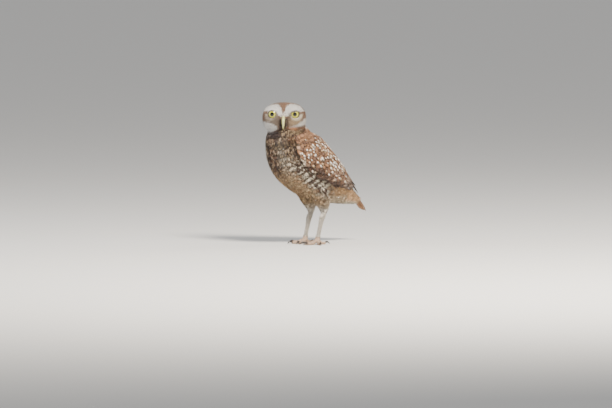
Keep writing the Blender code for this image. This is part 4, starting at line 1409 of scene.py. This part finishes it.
# Rows along the bill: x, y, z, half width and half height, in the head's own frame.
UPPER_BILL = (
    (0, -19.0, 2.0, 2.6, 3.9),
    (0, -27.0, 1.0, 2.5, 3.8),
    (0, -31.3, -2.4, 2.3, 3.7),
    (0, -33.3, -7.2, 1.9, 3.1),
    (0, -33.0, -12.0, 1.2, 1.8),
    (0, -30.8, -15.5, 0.4, 0.4),
)
LOWER_BILL = (
    (0, -19.0, -5.5, 2.6, 3.4),
    (0, -25.5, -7.0, 2.2, 3.0),
    (0, -28.5, -9.5, 1.5, 2.2),
    (0, -29.5, -12.0, 0.9, 1.3),
    (0, -29.5, -13.4, 0.4, 0.5),
)


# Legs and feet

# Name, turn out from straight ahead, length and radius.
TOES = (
    ("inner", -22.0, 21.0, 2.7),
    ("middle", 8.0, 24.0, 2.8),
    ("outer", 62.0, 19.0, 2.6),
    ("hind", 172.0, 14.0, 2.5),
)
CLAW_LENGTH = 8.5
TOE_REST = 0.75
# Rows along a claw: share of its length, height over the toe's middle and size as a share of the toe's.
CLAW_ROWS = ((-0.1, 0.8, 0.5), (0.30, 1.9, 0.50), (0.62, 1.4, 0.36), (0.88, -0.4, 0.20), (1.0, -1.6, 0.07))


def claw(side, label, turn, length, radius, material):
    """A curved black claw, finer than its solid."""
    sign = 1 if side == "left" else -1
    start = leg_point(side, 0.0)
    angle = math.radians(turn * sign)
    ahead = Vector((math.sin(angle), -math.cos(angle), 0))
    rest = radius * TOE_REST
    rows = []
    for d, z, r in CLAW_ROWS:
        at = start + ahead * (length + CLAW_LENGTH * d)
        rows.append((at.x, at.y, rest + z, radius * r, radius * r * 1.15))
    obj = tube(f"talon_{side}_{label}", rows, (math.cos(angle), math.sin(angle), 0), 16, 16)
    for vertex in obj.data.vertices:
        vertex.co.z = max(vertex.co.z, 0.0001)
    return finish_piece(obj, material, (f"claw_{side}_{label}",))


def scaled_foot(side, material):
    """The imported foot's shape with an even, softened skin."""
    obj = remeshed(f"toes_{side}", copy_nodes((f"foot_{side}",)), 0.45, 3)
    return finish_piece(obj, material, (f"foot_{side}",))


def shank_skin(side, material):
    """The skin under the short feathers of a shank."""
    obj = remeshed(f"shank_skin_{side}", copy_nodes((f"shank_{side}",)), 0.6, 3)
    points, normals = mesh_arrays(obj)
    sink(obj, points, normals, 0.7)
    ground, _, _ = leg_marks(points)
    paint(obj.data, "Markings", ground)
    return finish_piece(obj, material, (f"shank_{side}",))


# Stage

CAMERA_TURN = 50.0
CAMERA_RISE = 3.5
FRAME_WIDTH = 0.949  # metres of the object's plane across the picture
LENS, SENSOR = 600.0, 36.0
AIM_ACROSS, AIM_UP = -0.0176, 0.0615  # centre of the picture, from the foot of the model

# Lamps: name, place, size, power and colour.
LAMPS = (
    ("key", (1.5, -0.45, 1.5), 0.6, 128.0, "#fff8ee"),
    ("fill", (-1.0, -1.4, 0.5), 1.6, 20.0, "#eaf0ff"),
    ("rim", (0.3, 1.5, 1.3), 1.0, 7.0, "#ffffff"),
)
LIT_AT = Vector((0, 0, 0.12))


def linked(name, data):
    """A new object in the scene, turned by a quaternion."""
    obj = bpy.data.objects.new(name, data)
    obj.rotation_mode = "QUATERNION"
    bpy.context.collection.objects.link(obj)
    return obj


def pale_floor():
    bm = bmesh.new()
    bmesh.ops.create_grid(bm, x_segments=1, y_segments=1, size=40.0)
    mesh = bpy.data.meshes.new("floor")
    bm.to_mesh(mesh)
    bm.free()
    floor = bpy.data.objects.new("floor", mesh)
    bpy.context.collection.objects.link(floor)
    material, _, shader = new_material("matt_pale_floor")
    set_shader(shader, Base_Color=(*linear("#d8d5cf"), 1), Roughness=0.95)
    mesh.materials.append(material)


def photo_camera():
    """A long lens at the photo's viewing angle, far enough off for the photo's framing."""
    turn, rise = math.radians(CAMERA_TURN), math.radians(CAMERA_RISE)
    back = Vector((math.sin(turn) * math.cos(rise), -math.cos(turn) * math.cos(rise), math.sin(rise)))
    right = Vector((math.cos(turn), math.sin(turn), 0))
    up = back.cross(right)
    distance = FRAME_WIDTH * LENS / SENSOR
    camera = linked("camera", bpy.data.cameras.new("camera"))
    camera.data.lens = LENS
    camera.data.sensor_width = SENSOR
    camera.data.clip_end = 200.0
    camera.location = right * AIM_ACROSS + up * AIM_UP + back * distance
    camera.rotation_quaternion = back.to_track_quat("Z", "Y")
    bpy.context.scene.camera = camera


def studio_light():
    for name, at, size, power, code in LAMPS:
        lamp = linked(name, bpy.data.lights.new(name, "AREA"))
        lamp.data.shape = "DISK"
        lamp.data.size = size
        lamp.data.energy = power
        lamp.data.color = linear(code)
        lamp.location = at
        lamp.rotation_quaternion = (Vector(at) - LIT_AT).to_track_quat("Z", "Y")
    world = bpy.data.worlds.new("studio")
    world.use_nodes = True
    world.node_tree.nodes["Background"].inputs["Color"].default_value = (*linear("#e6e8ec"), 1)
    world.node_tree.nodes["Background"].inputs["Strength"].default_value = 0.72
    bpy.context.scene.world = world


# The dressed bird


def on_head(points):
    """Skin of the head, but for the openings of the eyes and the bill's base."""
    head, _ = part_of(points)
    return (head > 0.25) & (eye_distance(points) > EYE_OPENING + 0.3) & (bill_distance(points) > 2.0)


def on_left_face(points):
    local = in_head(points)
    return on_head(points) & (local[:, 1] < -9) & (local[:, 0] >= 0)


def on_right_face(points):
    local = in_head(points)
    return on_head(points) & (local[:, 1] < -9) & (local[:, 0] <= 0)


def on_crown(points):
    """Top, sides and back of the head."""
    return on_head(points) & (in_head(points)[:, 1] > -12)


def on_neck(points):
    z = points[:, 2]
    return (off_head(points) > 22) & (z > 162) & (z < 177) & (points[:, 1] < -14)


def on_nape(points):
    """The hollow between the back of the head and the shoulders."""
    z = points[:, 2]
    back = (points[:, 1] > -48) & (in_head(points)[:, 1] > -8)
    return back & (off_head(points) > 20) & (z > 172) & (z < 188)


def on_hip(points):
    """The band where the flank laps over the thigh."""
    s, _ = nearest_body(points)
    x, y, z = points.T
    return (z > 66) & (z < 96) & (np.abs(x) > 6) & (s > 3.2) & (y < 50) & (y > -18)


def on_thigh(points):
    x, y, z = points.T
    low = (z < 100) & (z > 43) & (y < 45) & (np.abs(x) > 2)
    return low & (off_body(points) > 0.3)


def on_shank(points):
    return points[:, 2] > 8


def off_body(points):
    """How far points of the skin stand off the plain torso, as on the thighs."""
    s, angle = nearest_body(points)
    centre = smooth(BODY, s)[:, :2]
    reach = np.hypot(points[:, 0], np.linalg.norm(points[:, 1:] - centre, axis=1))
    shell = torso_point(s, angle)
    return reach - np.hypot(shell[:, 0], np.linalg.norm(shell[:, 1:] - centre, axis=1)) + COAT_DEPTH


def face_length(points):
    """Length of the face's feathers, shortest round the eyes and the bill."""
    near = np.minimum(eye_distance(points) - EYE_OPENING, bill_distance(points))
    return np.interp(near, (1, 6, 16), (3.0, 4.6, 6.5))


def crown_length(points):
    """Length of the head's other feathers, longest at its back."""
    return np.interp(in_head(points)[:, 1], (-12, 20), (6.5, 9.5))


def dress_body(down):
    breast = (0.0, 8.3), 12.0, 6.5, down
    contour_feathers("breast_feathers_left", (60.0, 180.0), *breast, 3, under_wing)
    contour_feathers("breast_feathers_right", (-180.0, -60.0), *breast, 4, under_wing)
    contour_feathers("back_feathers", (-62.0, 62.0), (0.0, 8.0), 14.0, 7.5, down, 5, under_coverts)


def dress_hollows(coat, down):
    """Feathers of the neck, the nape and the hips, between the larger forms."""
    neck = (0.0, 0.25, -1.0), body_coat_uv, "body_plumage"
    lifts = (-0.4, 1.0, 1.9, 2.5)
    skin_coat(coat, "neck_feathers", on_neck, 17, 2.1, 11.0, 4.4, 8, lifts, down, neck)
    nape = nape_flow, body_coat_uv, "body_plumage"
    lifts = (-0.4, 1.2, 2.4, 2.4)
    skin_coat(coat, "nape_feathers", on_nape, 19, 2.2, 19.0, 5.0, 7, lifts, down, nape)
    hip = (0.0, 0.55, -1.0), body_coat_uv, "body_plumage"
    lifts = (-0.4, 1.4, 2.4, 2.6)
    skin_coat(coat, "hip_feathers", on_hip, 18, 3.0, 17.0, 6.5, 9, lifts, down, hip, hip_marks)


def dress_head(coat, face):
    kind = head_flow, head_uv, "head_plumage"
    lifts = (-0.4, 0.6, 1.2, 1.5)
    for name, wanted, seed in (
        ("face_feathers_left", on_left_face, 11),
        ("face_feathers_right", on_right_face, 13),
    ):
        skin_coat(coat, name, wanted, seed, 0.92, face_length, 1.8, 5, lifts, face, kind)
    lifts = (-0.4, 0.7, 1.3, 1.6)
    skin_coat(coat, "crown_feathers", on_crown, 12, 1.75, crown_length, 3.4, 5, lifts, face, kind)
    bill_bristles(coat, face)


def dress_legs(coat, skin, shanks, feet, down):
    kind = (0.0, 0.15, -1.0), leg_uv, "leg_plumage"
    lifts = (-0.4, 0.8, 1.6, 1.8)
    skin_coat(coat, "thigh_feathers", on_thigh, 21, 2.0, 12.0, 4.6, 6, lifts, down, kind)
    lifts = (-0.2, 0.7, 1.3, 1.5)
    for side in SIDES:
        shank = Coat(shanks[side], (skin, feet[side]))
        name = f"shank_feathers_{side}"
        skin_coat(shank, name, on_shank, 22, 0.95, 5.0, 1.6, 4, lifts, down, kind, leg_marks)


def bare_parts():
    """Eyes, lids, bill and claws."""
    iris = eye_material()
    lid_skin = lid_material()
    horn = horn_material("olive_yellow_bill", "#8f9058", "#c9c988", 0.38, 3.0)
    black = horn_material("black_claw", "#15110f", "#3b322c", 0.3, 1.5)
    bill_part("bill_hook", UPPER_BILL, horn, "bill_upper")
    bill_part("bill_under", LOWER_BILL, horn, "bill_lower")
    for side in SIDES:
        globe(side, iris)
        lid_ring(side, lid_skin)
        for label, turn, length, radius in TOES:
            claw(side, label, turn, length, radius, black)


def dress():
    vane = feather_material("spotted_vanes", 0.9, 0.72)
    down = feather_material("soft_body_feathers", 0.7, 0.85)
    face = feather_material("fine_face_feathers", 0.5, 0.85)
    under = skin_material()
    scales = foot_material()
    skin = body_skin(under)
    shanks = {side: shank_skin(side, under) for side in SIDES}
    feet = {side: scaled_foot(side, scales) for side in SIDES}
    coat = Coat(skin, shanks.values())
    dress_body(down)
    for side in SIDES:
        wing_quills(side, vane)
        wing_coverts(side, vane)
    tail_feathers(vane)
    dress_head(coat, face)
    dress_hollows(coat, down)
    dress_legs(coat, skin, shanks, feet, down)
    bare_parts()


dress()
pale_floor()
photo_camera()
studio_light()
